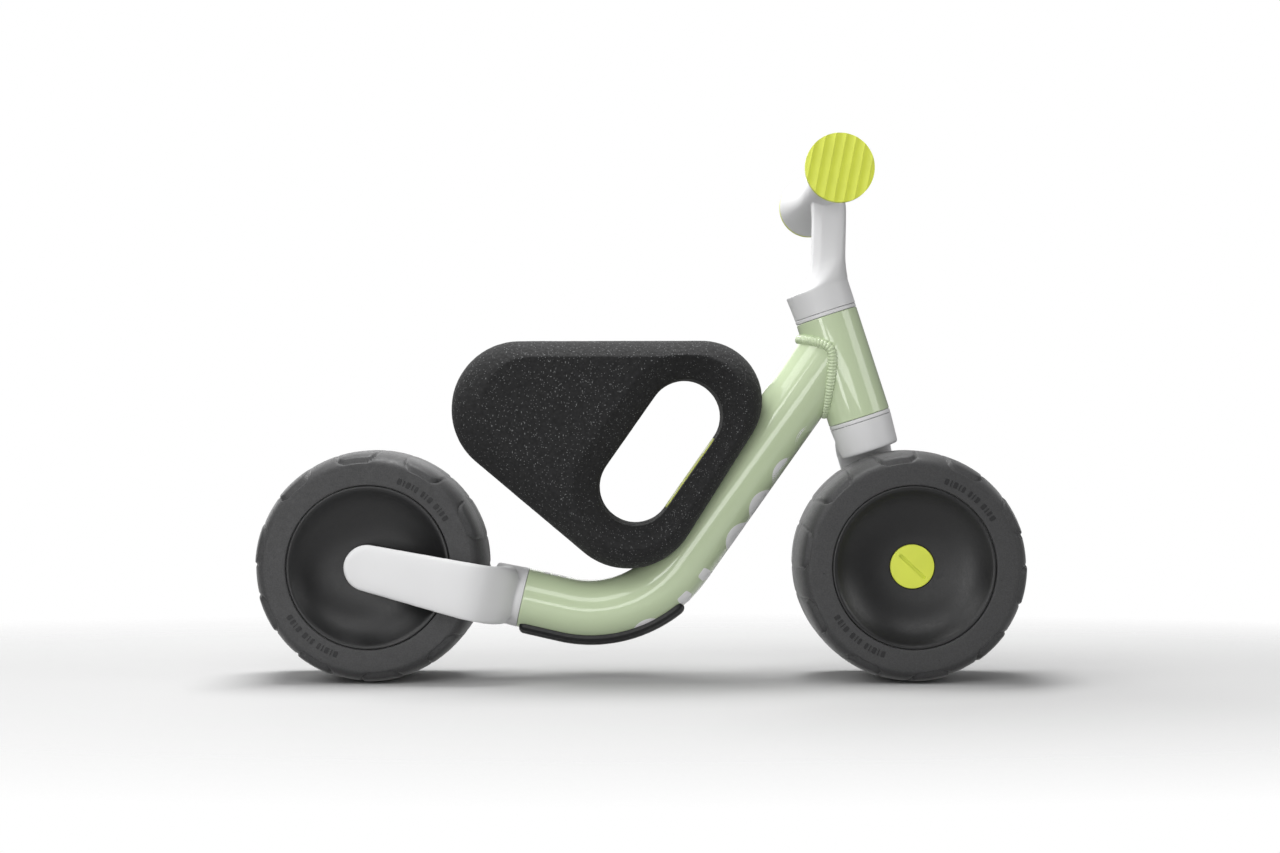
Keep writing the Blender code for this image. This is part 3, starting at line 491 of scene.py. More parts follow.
def tube_station(distance):
    """Centre point and direction of the main tube at a distance along it from its rear end."""
    if distance < REAR_RUN:
        return SEAM_POINT + REAR_DIRECTION * distance, REAR_DIRECTION
    turned = min(distance - REAR_RUN, BEND_RUN)
    slope = turned / TUBE_BEND_RADIUS - REAR_TUBE_DROP
    direction = Vector((math.cos(slope), 0, math.sin(slope)))
    point = BEND_CENTRE + Vector((direction.z, 0, -direction.x)) * TUBE_BEND_RADIUS
    return point + direction * (distance - REAR_RUN - turned), direction


TUBE_LENGTH = REAR_RUN + BEND_RUN + (TUBE_JOINT - tube_station(REAR_RUN + BEND_RUN)[0]).length


def tube_radius(point):
    reach = min((point - TUBE_JOINT).length / TUBE_TAPER_LENGTH, 1.0)
    return TUBE_RADIUS_HEAD + (TUBE_RADIUS_REAR - TUBE_RADIUS_HEAD) * reach


def on_tube(distance, angle, lift=0.0):
    """A point on the main tube; angle 0 is its upper side and a quarter turn is +Y."""
    point, direction = tube_station(distance)
    normal = Vector((-direction.z, 0, direction.x))
    out = normal * math.cos(angle) + Vector((0, math.sin(angle), 0))
    return point + out * (tube_radius(point) + lift)


def saddle_point(angle, tube, head):
    """Where a line on a bar of radius tube, along the main tube, meets the head tube's round."""
    normal = Vector((-TUBE_DIRECTION.z, 0, TUBE_DIRECTION.x))
    start = TUBE_JOINT + normal * (tube * math.cos(angle)) + Vector((0, tube * math.sin(angle), 0))
    offset = start - FRONT_AXLE
    flat = offset - STEER_AXIS * offset.dot(STEER_AXIS)
    slide = TUBE_DIRECTION - STEER_AXIS * TUBE_DIRECTION.dot(STEER_AXIS)
    a = slide.dot(slide)
    b = 2 * flat.dot(slide)
    c = flat.dot(flat) - head ** 2
    root = math.sqrt(max(b * b - 4 * a * c, 0.0))
    return start + TUBE_DIRECTION * ((-b - root) / (2 * a))


COPE_RADIUS = HEAD_TUBE_RADIUS - 0.0007     # the front end reaches a little into the head tube


def main_tube(sides=144, bend_steps=56):
    """The bent tube with its real wall, a softened rear edge and a coped front end."""
    angles = turns(sides)
    bend = [REAR_RUN + BEND_RUN * k / bend_steps for k in range(bend_steps + 1)]
    stations = [0.0005, 0.002] + bend
    soft = 0.0005
    rows = [[on_tube(0.0, a, -soft) for a in angles],
            [on_tube(0.00015, a, -soft / 4) for a in angles]]
    rows += [[on_tube(s, a) for a in angles] for s in stations]
    rows += [[saddle_point(a, TUBE_RADIUS_HEAD, COPE_RADIUS) for a in angles]]
    inner = TUBE_RADIUS_HEAD - TUBE_WALL
    rows += [[saddle_point(a, inner, COPE_RADIUS) for a in angles]]
    rows += [[on_tube(s, a, -TUBE_WALL) for a in angles] for s in stations[::-1]]
    rows += [[on_tube(0.0, a, -TUBE_WALL) for a in angles]]
    return skin(rows, True)


def head_tube():
    outline = [(HEAD_TUBE_BORE, HEAD_TUBE_BOTTOM), (HEAD_TUBE_RADIUS, HEAD_TUBE_BOTTOM),
               (HEAD_TUBE_RADIUS, HEAD_TUBE_TOP), (HEAD_TUBE_BORE, HEAD_TUBE_TOP)]
    return placed(revolved(rounded(outline, 0.0006), 144), HEAD_PLACE)


WELD_RADIUS = 0.0030
WELD_PITCH = 0.0025
WELD_RIPPLE = 0.0009
WELD_LAG = 0.42                             # how far a ripple's crown trails its feet, in pitches


def weld_bead(samples_per_ripple=8, sides=20):
    """A fillet weld of overlapping ripples round the joint of the two tubes."""
    fine = 1440
    route = [saddle_point(turn, TUBE_RADIUS_HEAD - 0.0001, HEAD_TUBE_RADIUS + 0.0009)
             for turn in turns(fine)]
    lengths = [0.0]
    for a, b in zip(route, route[1:] + route[:1]):
        lengths.append(lengths[-1] + (b - a).length)
    ripples = round(lengths[-1] / WELD_PITCH)
    count = ripples * samples_per_ripple
    marks = []
    k = 0
    for i in range(count):
        goal = lengths[-1] * i / count
        while lengths[k + 1] < goal:
            k += 1
        share = (goal - lengths[k]) / (lengths[k + 1] - lengths[k])
        marks.append(route[k].lerp(route[(k + 1) % fine], share))
    rows = []
    for i, point in enumerate(marks):
        ahead = (marks[(i + 3) % count] - marks[i - 3]).normalized()
        beside_head = point - FRONT_AXLE
        out = beside_head - STEER_AXIS * beside_head.dot(STEER_AXIS)
        out = (out - ahead * out.dot(ahead)).normalized()
        side = ahead.cross(out)
        row = []
        for turn in turns(sides):
            lag = WELD_LAG * (1 + math.cos(turn)) / 2
            phase = (i / samples_per_ripple + lag) % 1.0
            swell = abs(math.sin(math.pi * phase)) ** 0.55
            radius = WELD_RADIUS + WELD_RIPPLE * swell
            row.append(point + (out * math.cos(turn) + side * math.sin(turn)) * radius)
        rows.append(row)
    return skin(rows, True)


def printed_mark(distance, angle, half_length, half_round, power, steps=10, corners=48):
    """A thin printed shape on the main tube: an ellipse, or a rounded bar for a high power."""
    rows = []
    thickness = 0.00012
    shape = [squared_off(turn, 2 / power) for turn in turns(corners)]
    for lift, order in ((-thickness, range(1, steps + 1)), (thickness, range(steps, 0, -1))):
        for k in order:
            rows.append([on_tube(distance + half_length * a * k / steps,
                                 angle + half_round * b * k / steps / TUBE_RADIUS_REAR, lift)
                         for a, b in shape])
    return skin(rows)


DOT_COUNT = 5
DOT_PITCH = 0.0312
DOT_START = 0.0430                          # back from the tube's front end to the first dot
DOT_HALF_LENGTH = 0.0138
PRINT_HALF_ROUND = 0.0203
OVAL, BLOCK = 2.2, 8.0


def tube_print():
    """A plain row of dots and bars under the front run, and three bars on the rear run."""
    first = TUBE_LENGTH - DOT_START
    last = first - DOT_PITCH * (DOT_COUNT - 1)
    shapes = [(first - DOT_PITCH * index, DOT_HALF_LENGTH, OVAL) for index in range(DOT_COUNT)]
    shapes += [(last - 0.0386, 0.0048, BLOCK), (last - 0.0589, 0.0048, BLOCK),
               (last - 0.0894, 0.0110, OVAL)]
    marks = [printed_mark(distance, math.pi, half_length, PRINT_HALF_ROUND, power)
             for distance, half_length, power in shapes]
    for index in range(3):
        marks.append(printed_mark(0.0140 + 0.0065 * index, math.radians(-12), 0.0022, 0.0016,
                                  6.0, 4, 24))
    return joined(marks)


# ------------------------ single-sided legs

LEG_OUTER_FACE = 0.0623
LEG_OUTER_EDGE = [(0.1140, 0.0200), (0.1110, 0.0285), (0.1065, 0.0365), (0.1000, 0.0450),
                  (0.0930, 0.0530), (0.0860, 0.0585), (0.0760, 0.0617), (0.0620, LEG_OUTER_FACE)]
LEG_INNER_EDGE = [(0.0950, 0.0080), (0.0942, 0.0210), (0.0938, 0.0330), (0.0920, 0.0430),
                  (0.0880, 0.0492), (0.0840, 0.0528), (0.0760, 0.0544), (0.0620, 0.0546)]
LEG_END_OUTER = 0.0590
LEG_END_INNER = 0.0500
LEG_END_RADIUS = 0.0178
LEG_GROWTH = 0.052
COLLAR_BOTTOM = 0.0934
BOSS_OUTLINE = [(0, 0.038), (0.0125, 0.038), (0.0150, 0.054), (0, 0.054)]


def leg_section(outer, inner, half_height, side, blunt=3.2, count=56):
    """A rounded section between an outer and an inner point of the leg's edges."""
    points = []
    for turn in turns(count):
        along, up = squared_off(turn, 2 / blunt)
        reach, out = ((o + n) / 2 + (o - n) / 2 * along for o, n in zip(outer, inner))
        points.append(Vector((up * half_height, side * out, reach)))
    return points


def leg_shape(side):
    """The leg from inside its collar, round the tyre's shoulder and down to the axle."""
    sections = []
    outer_edge = curve_through(LEG_OUTER_EDGE, 6)
    inner_edge = curve_through(LEG_INNER_EDGE, 6)
    for outer, inner in zip(outer_edge, inner_edge):
        height = LEG_END_RADIUS + LEG_GROWTH * inner[0]
        sections.append(leg_section(outer, inner, height, side))
    straight = LEG_OUTER_EDGE[-1][0]
    reaches = [straight * (1 - k / 6) for k in range(1, 7)]
    reaches += [-LEG_END_RADIUS * math.sin(math.radians(86) * k / 14) for k in range(1, 15)]
    for reach in reaches:
        share = 1 - max(reach, 0) / straight
        outer = LEG_OUTER_FACE + (LEG_END_OUTER - LEG_OUTER_FACE) * share
        inner = LEG_INNER_EDGE[-1][1] + (LEG_END_INNER - LEG_INNER_EDGE[-1][1]) * share
        if reach >= 0:
            height = LEG_END_RADIUS + LEG_GROWTH * reach
        else:
            height = math.sqrt(max(LEG_END_RADIUS ** 2 - reach ** 2, 0))
        sections.append(leg_section((reach, outer), (reach, inner), height, side))
    return skin(sections)


def leg_with_collar(side, collar_top, top_radius, bottom_radius, place):
    """Collar, leg and axle boss moulded as one, with a crisp top edge on the collar."""
    spare = 0.004
    edge = 0.0012
    collar = revolved([(0, COLLAR_BOTTOM), (bottom_radius - edge, COLLAR_BOTTOM),
                       (bottom_radius, COLLAR_BOTTOM + edge), (top_radius, collar_top),
                       (top_radius, collar_top + spare), (0, collar_top + spare)], 96)
    boss = along_y(revolved(BOSS_OUTLINE, 64), side)
    body = fused([collar, leg_shape(side), boss], voxel=0.0009, smoothing=14)
    body = sliced(body, Vector((0, 0, collar_top)), Vector((0, 0, 1)))
    return placed(body, place)


# ------------------------ guard under the bend

GUARD_HALF_ANGLE = math.radians(38)
GUARD_THICKNESS = 0.0039
GUARD_FRONT_SLOPE = math.radians(41)
GUARD_START = 0.0020
GUARD_END_ROUND = 0.0045
GUARD_GROOVE_DEPTH = 0.0006


def underside_guard(steps=72, across=28):
    """A rubber strip round the bend's underside with rounded edges, ends and two long grooves."""
    end = REAR_RUN + TUBE_BEND_RADIUS * (REAR_TUBE_DROP + GUARD_FRONT_SLOPE)
    rows = []
    for k in range(steps + 1):
        distance = GUARD_START + (end - GUARD_START) * (0.5 - 0.5 * math.cos(math.pi * k / steps))
        to_end = min(min(distance - GUARD_START, end - distance) / GUARD_END_ROUND, 1.0)
        swell = math.sqrt(1 - (1 - to_end) ** 2)
        thick = GUARD_THICKNESS * max(0.12, swell)
        span = GUARD_HALF_ANGLE * (0.80 + 0.20 * swell)
        outer = []
        for i in range(across + 1):
            u = 2 * i / across - 1
            round_off = (1 - abs(u) ** 6) ** 0.5 if abs(u) < 1 else 0.0
            groove = sum(math.exp(-((u - place) / 0.05) ** 2) for place in (-0.62, 0.62))
            lift = GAP + (thick - GAP) * (0.10 + 0.90 * round_off)
            lift -= GUARD_GROOVE_DEPTH * groove * swell
            outer.append(on_tube(distance, math.pi + span * u, lift))
        inner = [on_tube(distance, math.pi + span * (1 - 2 * i / 8), GAP * 0.5) for i in range(9)]
        rows.append(outer + inner)
    return skin(rows)


# ------------------------ seat

SEAT_CIRCLES = [(-0.0935, 0.2097, 0.0527), (-0.0098, 0.1410, 0.0539), (0.0470, 0.2165, 0.0462)]
FACE_CIRCLES = [(-0.0845, 0.2132, 0.0365), (-0.0098, 0.1425, 0.0370), (0.0440, 0.2150, 0.0347)]
SEAT_ROUND_DEPTH = 0.0250
SEAT_ROUND_END = math.radians(30)
SEAT_WAIST = -0.035                         # the band bulges this share past the outline mid-width
TUBE_CLEARANCE = 0.0007
PEBBLES = ((420.0, 0.00010), (60.0, 0.00012))
SLOT_FLARE = [(0.0, 0.0), (0.0330, 0.0), (0.0360, 0.0007), (0.0390, 0.0024), (0.0425, 0.0056),
              (0.0470, 0.0104), (0.0510, 0.0148), (0.0550, 0.0192), (0.0620, 0.0270)]


def band_outline(circles, steps=40):
    """Points of the tight band round circles listed anticlockwise."""
    made = []
    count = len(circles)
    for i in range(count):
        x1, z1, r1 = circles[i]
        angles = []
        for (xa, za, ra), (xb, zb, rb) in ((circles[i - 1], circles[i]),
                                           (circles[i], circles[(i + 1) % count])):
            length = math.hypot(xb - xa, zb - za)
            angles.append(math.atan2(zb - za, xb - xa) - math.acos((ra - rb) / length))
        first, last = angles
        while last < first:
            last += 2 * math.pi
        made += arc(x1, z1, r1, first, last - first, steps - 1)
    return made


def slot_ring(radius, y):
    points = []
    for end, begin in ((1, TUBE_ANGLE - math.pi / 2), (-1, TUBE_ANGLE + math.pi / 2)):
        centre = SLOT_CENTRE + TUBE_DIRECTION * (SLOT_HALF_SPAN * end)
        points += arc(centre.x, centre.z, radius, begin, math.pi, 29)
    return [Vector((x, y, z)) for x, z in points]


def seat_foam():
    """The foam block: crowned, with soft flanks, a dished hand slot and a groove for the tube."""
    silhouette = band_outline(SEAT_CIRCLES)
    face = band_outline(FACE_CIRCLES)
    flat_start = SEAT_HALF_WIDTH - SEAT_ROUND_DEPTH
    levels = [(flat_start * k / 4, SEAT_WAIST * (1 - (k / 4) ** 2)) for k in range(4)]
    for k in range(15):
        turn = SEAT_ROUND_END * k / 14
        levels.append((flat_start + SEAT_ROUND_DEPTH * math.sin(turn) / math.sin(SEAT_ROUND_END),
                       (1 - math.cos(turn)) / (1 - math.cos(SEAT_ROUND_END))))
    levels = [(-y, share) for y, share in levels[:0:-1]] + levels
    block = skin([[Vector((a + (c - a) * share, y, b + (d - b) * share))
                   for (a, b), (c, d) in zip(silhouette, face)] for y, share in levels])
    flare = curve_through(SLOT_FLARE, 3)
    rows = [slot_ring(SLOT_RADIUS + grow, -y) for y, grow in flare[:0:-1]]
    rows += [slot_ring(SLOT_RADIUS + grow, y) for y, grow in flare]
    block = cut(block, skin(rows))
    stations = [-0.01] + [REAR_RUN + BEND_RUN * k / 24 for k in range(25)] + [TUBE_LENGTH]
    bar = skin([[on_tube(station, turn, TUBE_CLEARANCE) for turn in turns(72)]
                for station in stations])
    block = cut(block, bar)
    pocket = prism(plate_outline(-GAP), PLATE_LOW - GAP, PLATE_HIGH + 0.01)
    block = cut(block, placed(pocket, SEAT_PLACE))
    foam = fused([block], voxel=0.0011, smoothing=4)
    normals = [normal.vector.copy() for normal in foam.vertex_normals]
    for point, normal in zip(foam.vertices, normals):
        pebble = sum(noise.noise(point.co * scale) * height for scale, height in PEBBLES)
        point.co = point.co + normal * pebble
    return foam


# ------------------------ seat fixing

SEAT_BOLTS = (-0.0210, 0.0210)
PLATE_LOW = 0.0330
PLATE_HIGH = 0.0359
PLATE_SHELF = 0.0350
HEAD_RADIUS = 0.0062
PLATE_HOLE = 0.0034
BOLT_RADIUS = 0.0030


def seat_frame():
    spot = SLOT_CENTRE + TUBE_UNDER * (TUBE_JOINT - SLOT_CENTRE).dot(TUBE_UNDER)
    return Matrix.Translation(spot) @ Matrix.Rotation(-TUBE_ANGLE, 4, "Y")


SEAT_PLACE = seat_frame()


def plate_outline(inset):
    half_length, half_width, corner = SLOT_HALF_SPAN - 0.001, 0.0210, 0.006
    points = []
    for quarter, (x, y) in enumerate(((1, 1), (-1, 1), (-1, -1), (1, -1))):
        points += arc(x * (half_length - corner), y * (half_width - corner), corner - inset,
                      math.pi / 2 * quarter, math.pi / 2, 8)
    return points


def clamp_plate():
    """A lime plate with rounded corners and edges and a stepped hole for each bolt."""
    soft = 0.0007
    heights = [(PLATE_LOW, soft), (PLATE_LOW + soft * 0.3, soft * 0.3), (PLATE_LOW + soft, 0)]
    heights += [(PLATE_HIGH - soft, 0), (PLATE_HIGH - soft * 0.3, soft * 0.3), (PLATE_HIGH, soft)]
    plate = skin([[Vector((x, y, z)) for x, y in plate_outline(inset)] for z, inset in heights])
    stepped = [(0, 0.030), (PLATE_HOLE, 0.030), (PLATE_HOLE, PLATE_SHELF),
               (HEAD_RADIUS + GAP, PLATE_SHELF), (HEAD_RADIUS + GAP, 0.045), (0, 0.045)]
    for offset in SEAT_BOLTS:
        plate = cut(plate, placed(revolved(stepped, 64), Matrix.Translation((offset, 0, 0))))
    return placed(plate, SEAT_PLACE)


def coin_slot(half_length, half_width, low, high):
    """The rounded bar that cuts a coin slot, along +X and through +Z."""
    points = []
    for end, begin in ((1, -math.pi / 2), (-1, math.pi / 2)):
        points += arc(end * half_length, 0, half_width, begin, math.pi, 12)
    return prism(points, low, high)


def seat_bolt(offset):
    head = PLATE_SHELF + GAP
    outline = [(0, 0.0120), (BOLT_RADIUS, 0.0120), (BOLT_RADIUS, head), (HEAD_RADIUS, head),
               (HEAD_RADIUS, PLATE_HIGH), (0, PLATE_HIGH)]
    bolt = revolved(rounded(outline, 0.0004, 3), 64)
    bolt = cut(bolt, coin_slot(0.0040, 0.0007, PLATE_HIGH - 0.0009, PLATE_HIGH + 0.004))
    return placed(bolt, SEAT_PLACE @ Matrix.Translation((offset, 0, 0)))


# ------------------------ handlebar

# rear x and z, front x and z, half width, and how far from round to boxy
STEM_RINGS = [(0.1165, 0.2977, 0.1617, 0.3145, 0.0252, 0.03),
              (0.1222, 0.3016, 0.1609, 0.3185, 0.0243, 0.15),
              (0.1284, 0.3086, 0.1602, 0.3240, 0.0226, 0.40),
              (0.1319, 0.3160, 0.1598, 0.3290, 0.0208, 0.70),
              (0.1335, 0.3250, 0.1597, 0.3340, 0.0193, 0.90),
              (0.1341, 0.3420, 0.1599, 0.3450, 0.0180, 1.0),
              (0.1344, 0.3586, 0.1602, 0.3590, 0.0178, 1.0),
              (0.1340, 0.3700, 0.1598, 0.3700, 0.0200, 1.0),
              (0.1330, 0.3830, 0.1570, 0.3830, 0.0220, 1.0)]
STEM_FRONT_POWER = 3.4
STEM_CHAMFER = 1.62
COLLAR_REAR_TOP = 0.2268
COLLAR_FRONT_RADIUS = 0.0247
BAR_RINGS = [(0.0, 0.0140), (0.0300, 0.0137), (0.0550, 0.0136), (0.0800, 0.0141),
             (0.1000, 0.0157), (0.1180, 0.0186), (0.1310, 0.0218), (0.1390, 0.0243),
             (0.1420, 0.0250)]
BAR_SHOULDER = 0.1420


def stem_ring(rear_x, rear_z, front_x, front_z, half_width, boxy, count=96):
    """A ring that runs from a circle to a box with chamfered rear corners."""
    middle = Vector(((rear_x + front_x) / 2, 0, (rear_z + front_z) / 2))
    reach = Vector((front_x - rear_x, 0, front_z - rear_z)) / 2
    ring = []
    for turn in turns(count):
        c, s = math.cos(turn), math.sin(turn)
        if c > 0:
            size = (c ** STEM_FRONT_POWER + abs(s) ** STEM_FRONT_POWER) ** (-1 / STEM_FRONT_POWER)
        else:
            size = min(1 / max(-c, 1e-6), 1 / max(abs(s), 1e-6), STEM_CHAMFER / (abs(s) - c))
        size = 1 + (size - 1) * boxy
        ring.append(middle + reach * (c * size) + Vector((0, half_width * s * size, 0)))
    return ring


def handlebar():
    """Collar, upright stem and flared crossbar moulded as one piece."""
    spare = 0.004
    rows = []
    for radius, height in ((0.0245, HANDLEBAR_BOTTOM - spare), (0.0245, HANDLEBAR_BOTTOM),
                           (0.0250, (HANDLEBAR_BOTTOM + COLLAR_REAR_TOP) / 2),
                           (0.0258, COLLAR_REAR_TOP)):
        rear = HEAD_PLACE @ Vector((-radius, 0, height))
        front = HEAD_PLACE @ Vector((COLLAR_FRONT_RADIUS, 0, height))
        half_width = (radius + COLLAR_FRONT_RADIUS) / 2
        rows.append(stem_ring(rear.x, rear.z, front.x, front.z, half_width, 0.0))
    rows += [stem_ring(*values) for values in curve_through(STEM_RINGS, 5)]
    stem = skin(rows)
    rings = curve_through(BAR_RINGS, 6) + [(BAR_SHOULDER + spare, BAR_END_RADIUS)]
    outline = [(0, -rings[-1][0])] + [(r, -y) for y, r in rings[::-1]]
    outline += [(r, y) for y, r in rings[1:]] + [(0, rings[-1][0])]
    cross = along_y(revolved(outline, 96), 1, Vector((BAR_CENTRE.x, 0, BAR_CENTRE.z)))
    bar = fused([stem, cross], voxel=0.0008, smoothing=6)
    bar = sliced(bar, HEAD_PLACE @ Vector((0, 0, HANDLEBAR_BOTTOM)), -STEER_AXIS)
    for side in (1, -1):
        bar = sliced(bar, Vector((0, side * BAR_SHOULDER, 0)), Vector((0, side, 0)))
    return bar


FLUTE_PITCH = 0.0072
FLUTE_DEPTH = 0.0012
FLUTE_LEAN = math.radians(11)


def grip_cap(side):
    """An end cap with concave flutes across its face."""
    inner = BAR_SHOULDER + GAP
    outline = [(0, inner - 0.012), (0.0100, inner - 0.012), (0.0100, inner),
               (BAR_END_RADIUS, inner), (BAR_END_RADIUS, BAR_HALF_WIDTH), (0, BAR_HALF_WIDTH)]
    cap = along_y(revolved(rounded(outline, 0.0007), 144))
    ends = BAR_HALF_WIDTH + 0.004
    profile = [(-0.036, ends)]
    steps = 12
    for flute in range(-4, 4):
        for k in range(steps):
            depth = FLUTE_DEPTH * (1 - (2 * k / steps - 1) ** 2)
            profile.append((FLUTE_PITCH * (flute + k / steps), BAR_HALF_WIDTH - depth))
    profile.append((0.036, ends))
    cap = cut(cap, placed(prism(profile, -0.03, 0.03), Matrix.Rotation(FLUTE_LEAN, 4, "Y")))
    cap = placed(cap, MIRROR_Y if side < 0 else Matrix.Identity(4))
    return placed(cap, Matrix.Translation((BAR_CENTRE.x, 0, BAR_CENTRE.z)))


# ------------------------ wheels

PAD_COUNT = 10
PAD_START = 0.0042
PAD_END = 0.0500
PAD_HALF_NARROW = 0.0135
PAD_HALF_WIDE = 0.0172
PAD_CORNER = 0.0065
PAD_LIFT = 0.0020
GROOVE_DEPTH = 0.0013
GROOVE_WIDTH = 0.0011
GROOVE_OFFSET = 0.0006
GROOVE_ON_CROWN = 0.3                       # the share of the depth left on the tread's crown
PAD_EDGE = 0.0016
PAD_SCALE_RADIUS = WHEEL_RADIUS * 0.965
PROFILE_POWER = 0.85


def pad_distance(around, reach):
    """Signed distance in metres from a tread pad's rounded edge; negative is inside."""
    share = min(max((reach - PAD_START) / (PAD_END - PAD_START), 0), 1)
    half = PAD_HALF_NARROW + (PAD_HALF_WIDE - PAD_HALF_NARROW) * share
    middle = (PAD_START + PAD_END) / 2
    a = abs(around) - (half - PAD_CORNER)
    b = abs(reach - middle) - ((PAD_END - PAD_START) / 2 - PAD_CORNER)
    return math.hypot(max(a, 0), max(b, 0)) + min(max(a, b), 0) - PAD_CORNER


def tyre_profile():
    """Half of the cross-section from the bore to the crown: radius, y, reach over the shoulder."""
    bore = HUB_RADIUS + GAP
    half = [(bore + grow, y, -1.0)
            for grow, y in ((0, 0.0460), (0, 0.0510), (0.00015, 0.0516), (0.0006, 0.05195),
                            (0.0011, TYRE_HALF_WIDTH))]
    flat = 6
    flat_start, flat_end = bore + 0.0011, SIDEWALL_OUTER_RADIUS - 0.0018
    for k in range(1, flat + 1):
        half.append((flat_start + (flat_end - flat_start) * k / flat, TYRE_HALF_WIDTH, -1.0))
    fine = 400
    shoulder_height = WHEEL_RADIUS - SIDEWALL_OUTER_RADIUS
    shoulder_width = TYRE_HALF_WIDTH - TYRE_CROWN_HALF_WIDTH
    curve = []
    for k in range(fine + 1):
        a = math.pi / 2 * k / fine
        curve.append((SIDEWALL_OUTER_RADIUS + shoulder_height * math.sin(a) ** PROFILE_POWER,
                      TYRE_CROWN_HALF_WIDTH + shoulder_width * math.cos(a) ** PROFILE_POWER))
    spacing = 0.00095
    run = 0.0
    last = 0.0
    half.append((SIDEWALL_OUTER_RADIUS - 0.0005, TYRE_HALF_WIDTH - 0.0001, 0.0))
    for (r0, y0), (r1, y1) in zip(curve, curve[1:]):
        run += math.hypot(r1 - r0, y1 - y0)
        if run - last >= spacing:
            half.append((r1, y1, run))
            last = run
    crown = 10
    for k in range(1, crown + 1):
        y = TYRE_CROWN_HALF_WIDTH * (1 - k / crown)
        half.append((WHEEL_RADIUS, y, run + TYRE_CROWN_HALF_WIDTH - y))
    return half


def tyre(centre, phase, columns=600):
    """A foam tyre: flat sidewalls and grooved tread pads that run over its shoulders."""
    half = tyre_profile()
    section = [(radius, -y, reach) for radius, y, reach in half] + half[-2::-1]
    pitch = 2 * math.pi / PAD_COUNT
    rows = []
    for radius, y, reach in section:
        row = []
        for angle in turns(columns):
            grown = radius
            if reach >= 0:
                local = (angle - phase + pitch / 2) % pitch - pitch / 2
                distance = pad_distance(local * PAD_SCALE_RADIUS, reach)
                inside = min(max(0.5 - distance / PAD_EDGE, 0.0), 1.0)
                inside = inside * inside * (3 - 2 * inside)
                slope = 1 - min(max((reach - PAD_START) / (PAD_END * 0.7 - PAD_START), 0), 1)
                groove = GROOVE_DEPTH * math.exp(-((distance - GROOVE_OFFSET) / GROOVE_WIDTH) ** 2)
                grown += PAD_LIFT * inside * slope ** 1.5
                grown -= groove * (GROOVE_ON_CROWN + (1 - GROOVE_ON_CROWN) * slope)
                grown = min(grown, WHEEL_RADIUS)
            row.append(Vector((centre.x + grown * math.cos(angle), y,
                               centre.z + grown * math.sin(angle))))
        rows.append(row)
    return skin(rows, True)


HUB_FACE = [(0.0600, 0.05135), (0.0588, 0.0505), (0.0570, 0.0488), (0.0540, 0.0462),
            (0.0500, 0.0434), (0.0450, 0.0408), (0.0390, 0.0385), (0.0320, 0.0367),
            (0.0250, 0.0356), (0.0190, 0.0351)]


def hub_half(centre, side):
    """Half of the wheel's core: a soft dish between a thin lip and the hub's recess."""
    lip = [(HUB_RADIUS, 0.0505), (HUB_RADIUS - 0.0002, 0.0511), (HUB_RADIUS - 0.0007, 0.0515),
           (HUB_RADIUS - 0.0014, 0.0516)]
    recess = [(0.0177, 0.0350), (0.0174, 0.0347), (0.0174, 0.0326), (0.0133, 0.0326),
              (0.0133, 0.0216), (0.0090, 0.0216), (0.0090, GAP / 2), (0.0165, GAP / 2),
              (0.0165, 0.0290), (0.0380, 0.0350), (0.0500, 0.0405), (0.0590, 0.0475),
              (0.0590, GAP / 2), (HUB_RADIUS, GAP / 2)]
    outline = lip + curve_through(HUB_FACE, 4) + recess
    return along_y(revolved(outline, 192), side, centre)


CAP_RADIUS = 0.01695
CAP_FACE = 0.0360
CAP_SLOT_HALF_LENGTH = 0.0120
CAP_SLOT_HALF_WIDTH = 0.0014
CAP_SLOT_DEPTH = 0.0021
CAP_SLOT_TURN = math.radians(43)


def axle_cap(centre, side):
    """The cap on the open side of a wheel, with a soft edge and a slot for a coin."""
    outline = [(0, 0.0302), (0.0080, 0.0302), (0.0080, 0.0332), (CAP_RADIUS, 0.0332),
               (CAP_RADIUS, CAP_FACE), (0, CAP_FACE)]
    cap = revolved(rounded(outline, 0.0007), 128)
    slot_cut = coin_slot(CAP_SLOT_HALF_LENGTH, CAP_SLOT_HALF_WIDTH, CAP_FACE - CAP_SLOT_DEPTH,
                         CAP_FACE + 0.004)
    cap = cut(cap, placed(slot_cut, Matrix.Rotation(CAP_SLOT_TURN, 4, "Z")))
    return along_y(cap, side, centre)


MARK_RADIUS = 0.0700
MARK_HALF_HEIGHT = 0.0024
MARK_GAP = math.radians(1.15)
MARK_STARTS = (math.radians(71), math.radians(251))
MARK_SPACE = 0.0
# half the angle of each bar in degrees, or a space
MARK_RHYTHM = (1.35, 0.5, 1.35, 0.5, 1.0, MARK_SPACE, 1.0, 0.5, 1.35, MARK_SPACE, 1.35, 0.5,
               1.0, 1.35)


def sidewall_mark(centre, side, angle, half_angle):
    """A raised bar with round ends that follows the sidewall."""
    low, high = TYRE_HALF_WIDTH - 0.0003, TYRE_HALF_WIDTH + 0.00035
    points = []
    for turn in turns(32):
        along, rise = squared_off(turn, 0.45)
        points.append((along * half_angle, rise * MARK_HALF_HEIGHT))
    rows = []
    for shrink, y in ((1.0, low), (1.0, high - 0.0002), (0.88, high)):
        row = []
        for along, rise in points:
            radius, turn = MARK_RADIUS + rise * shrink, angle + along * shrink
            row.append(centre + Vector((radius * math.cos(turn), side * y,
                                        radius * math.sin(turn))))
        rows.append(row)
    return skin(rows)


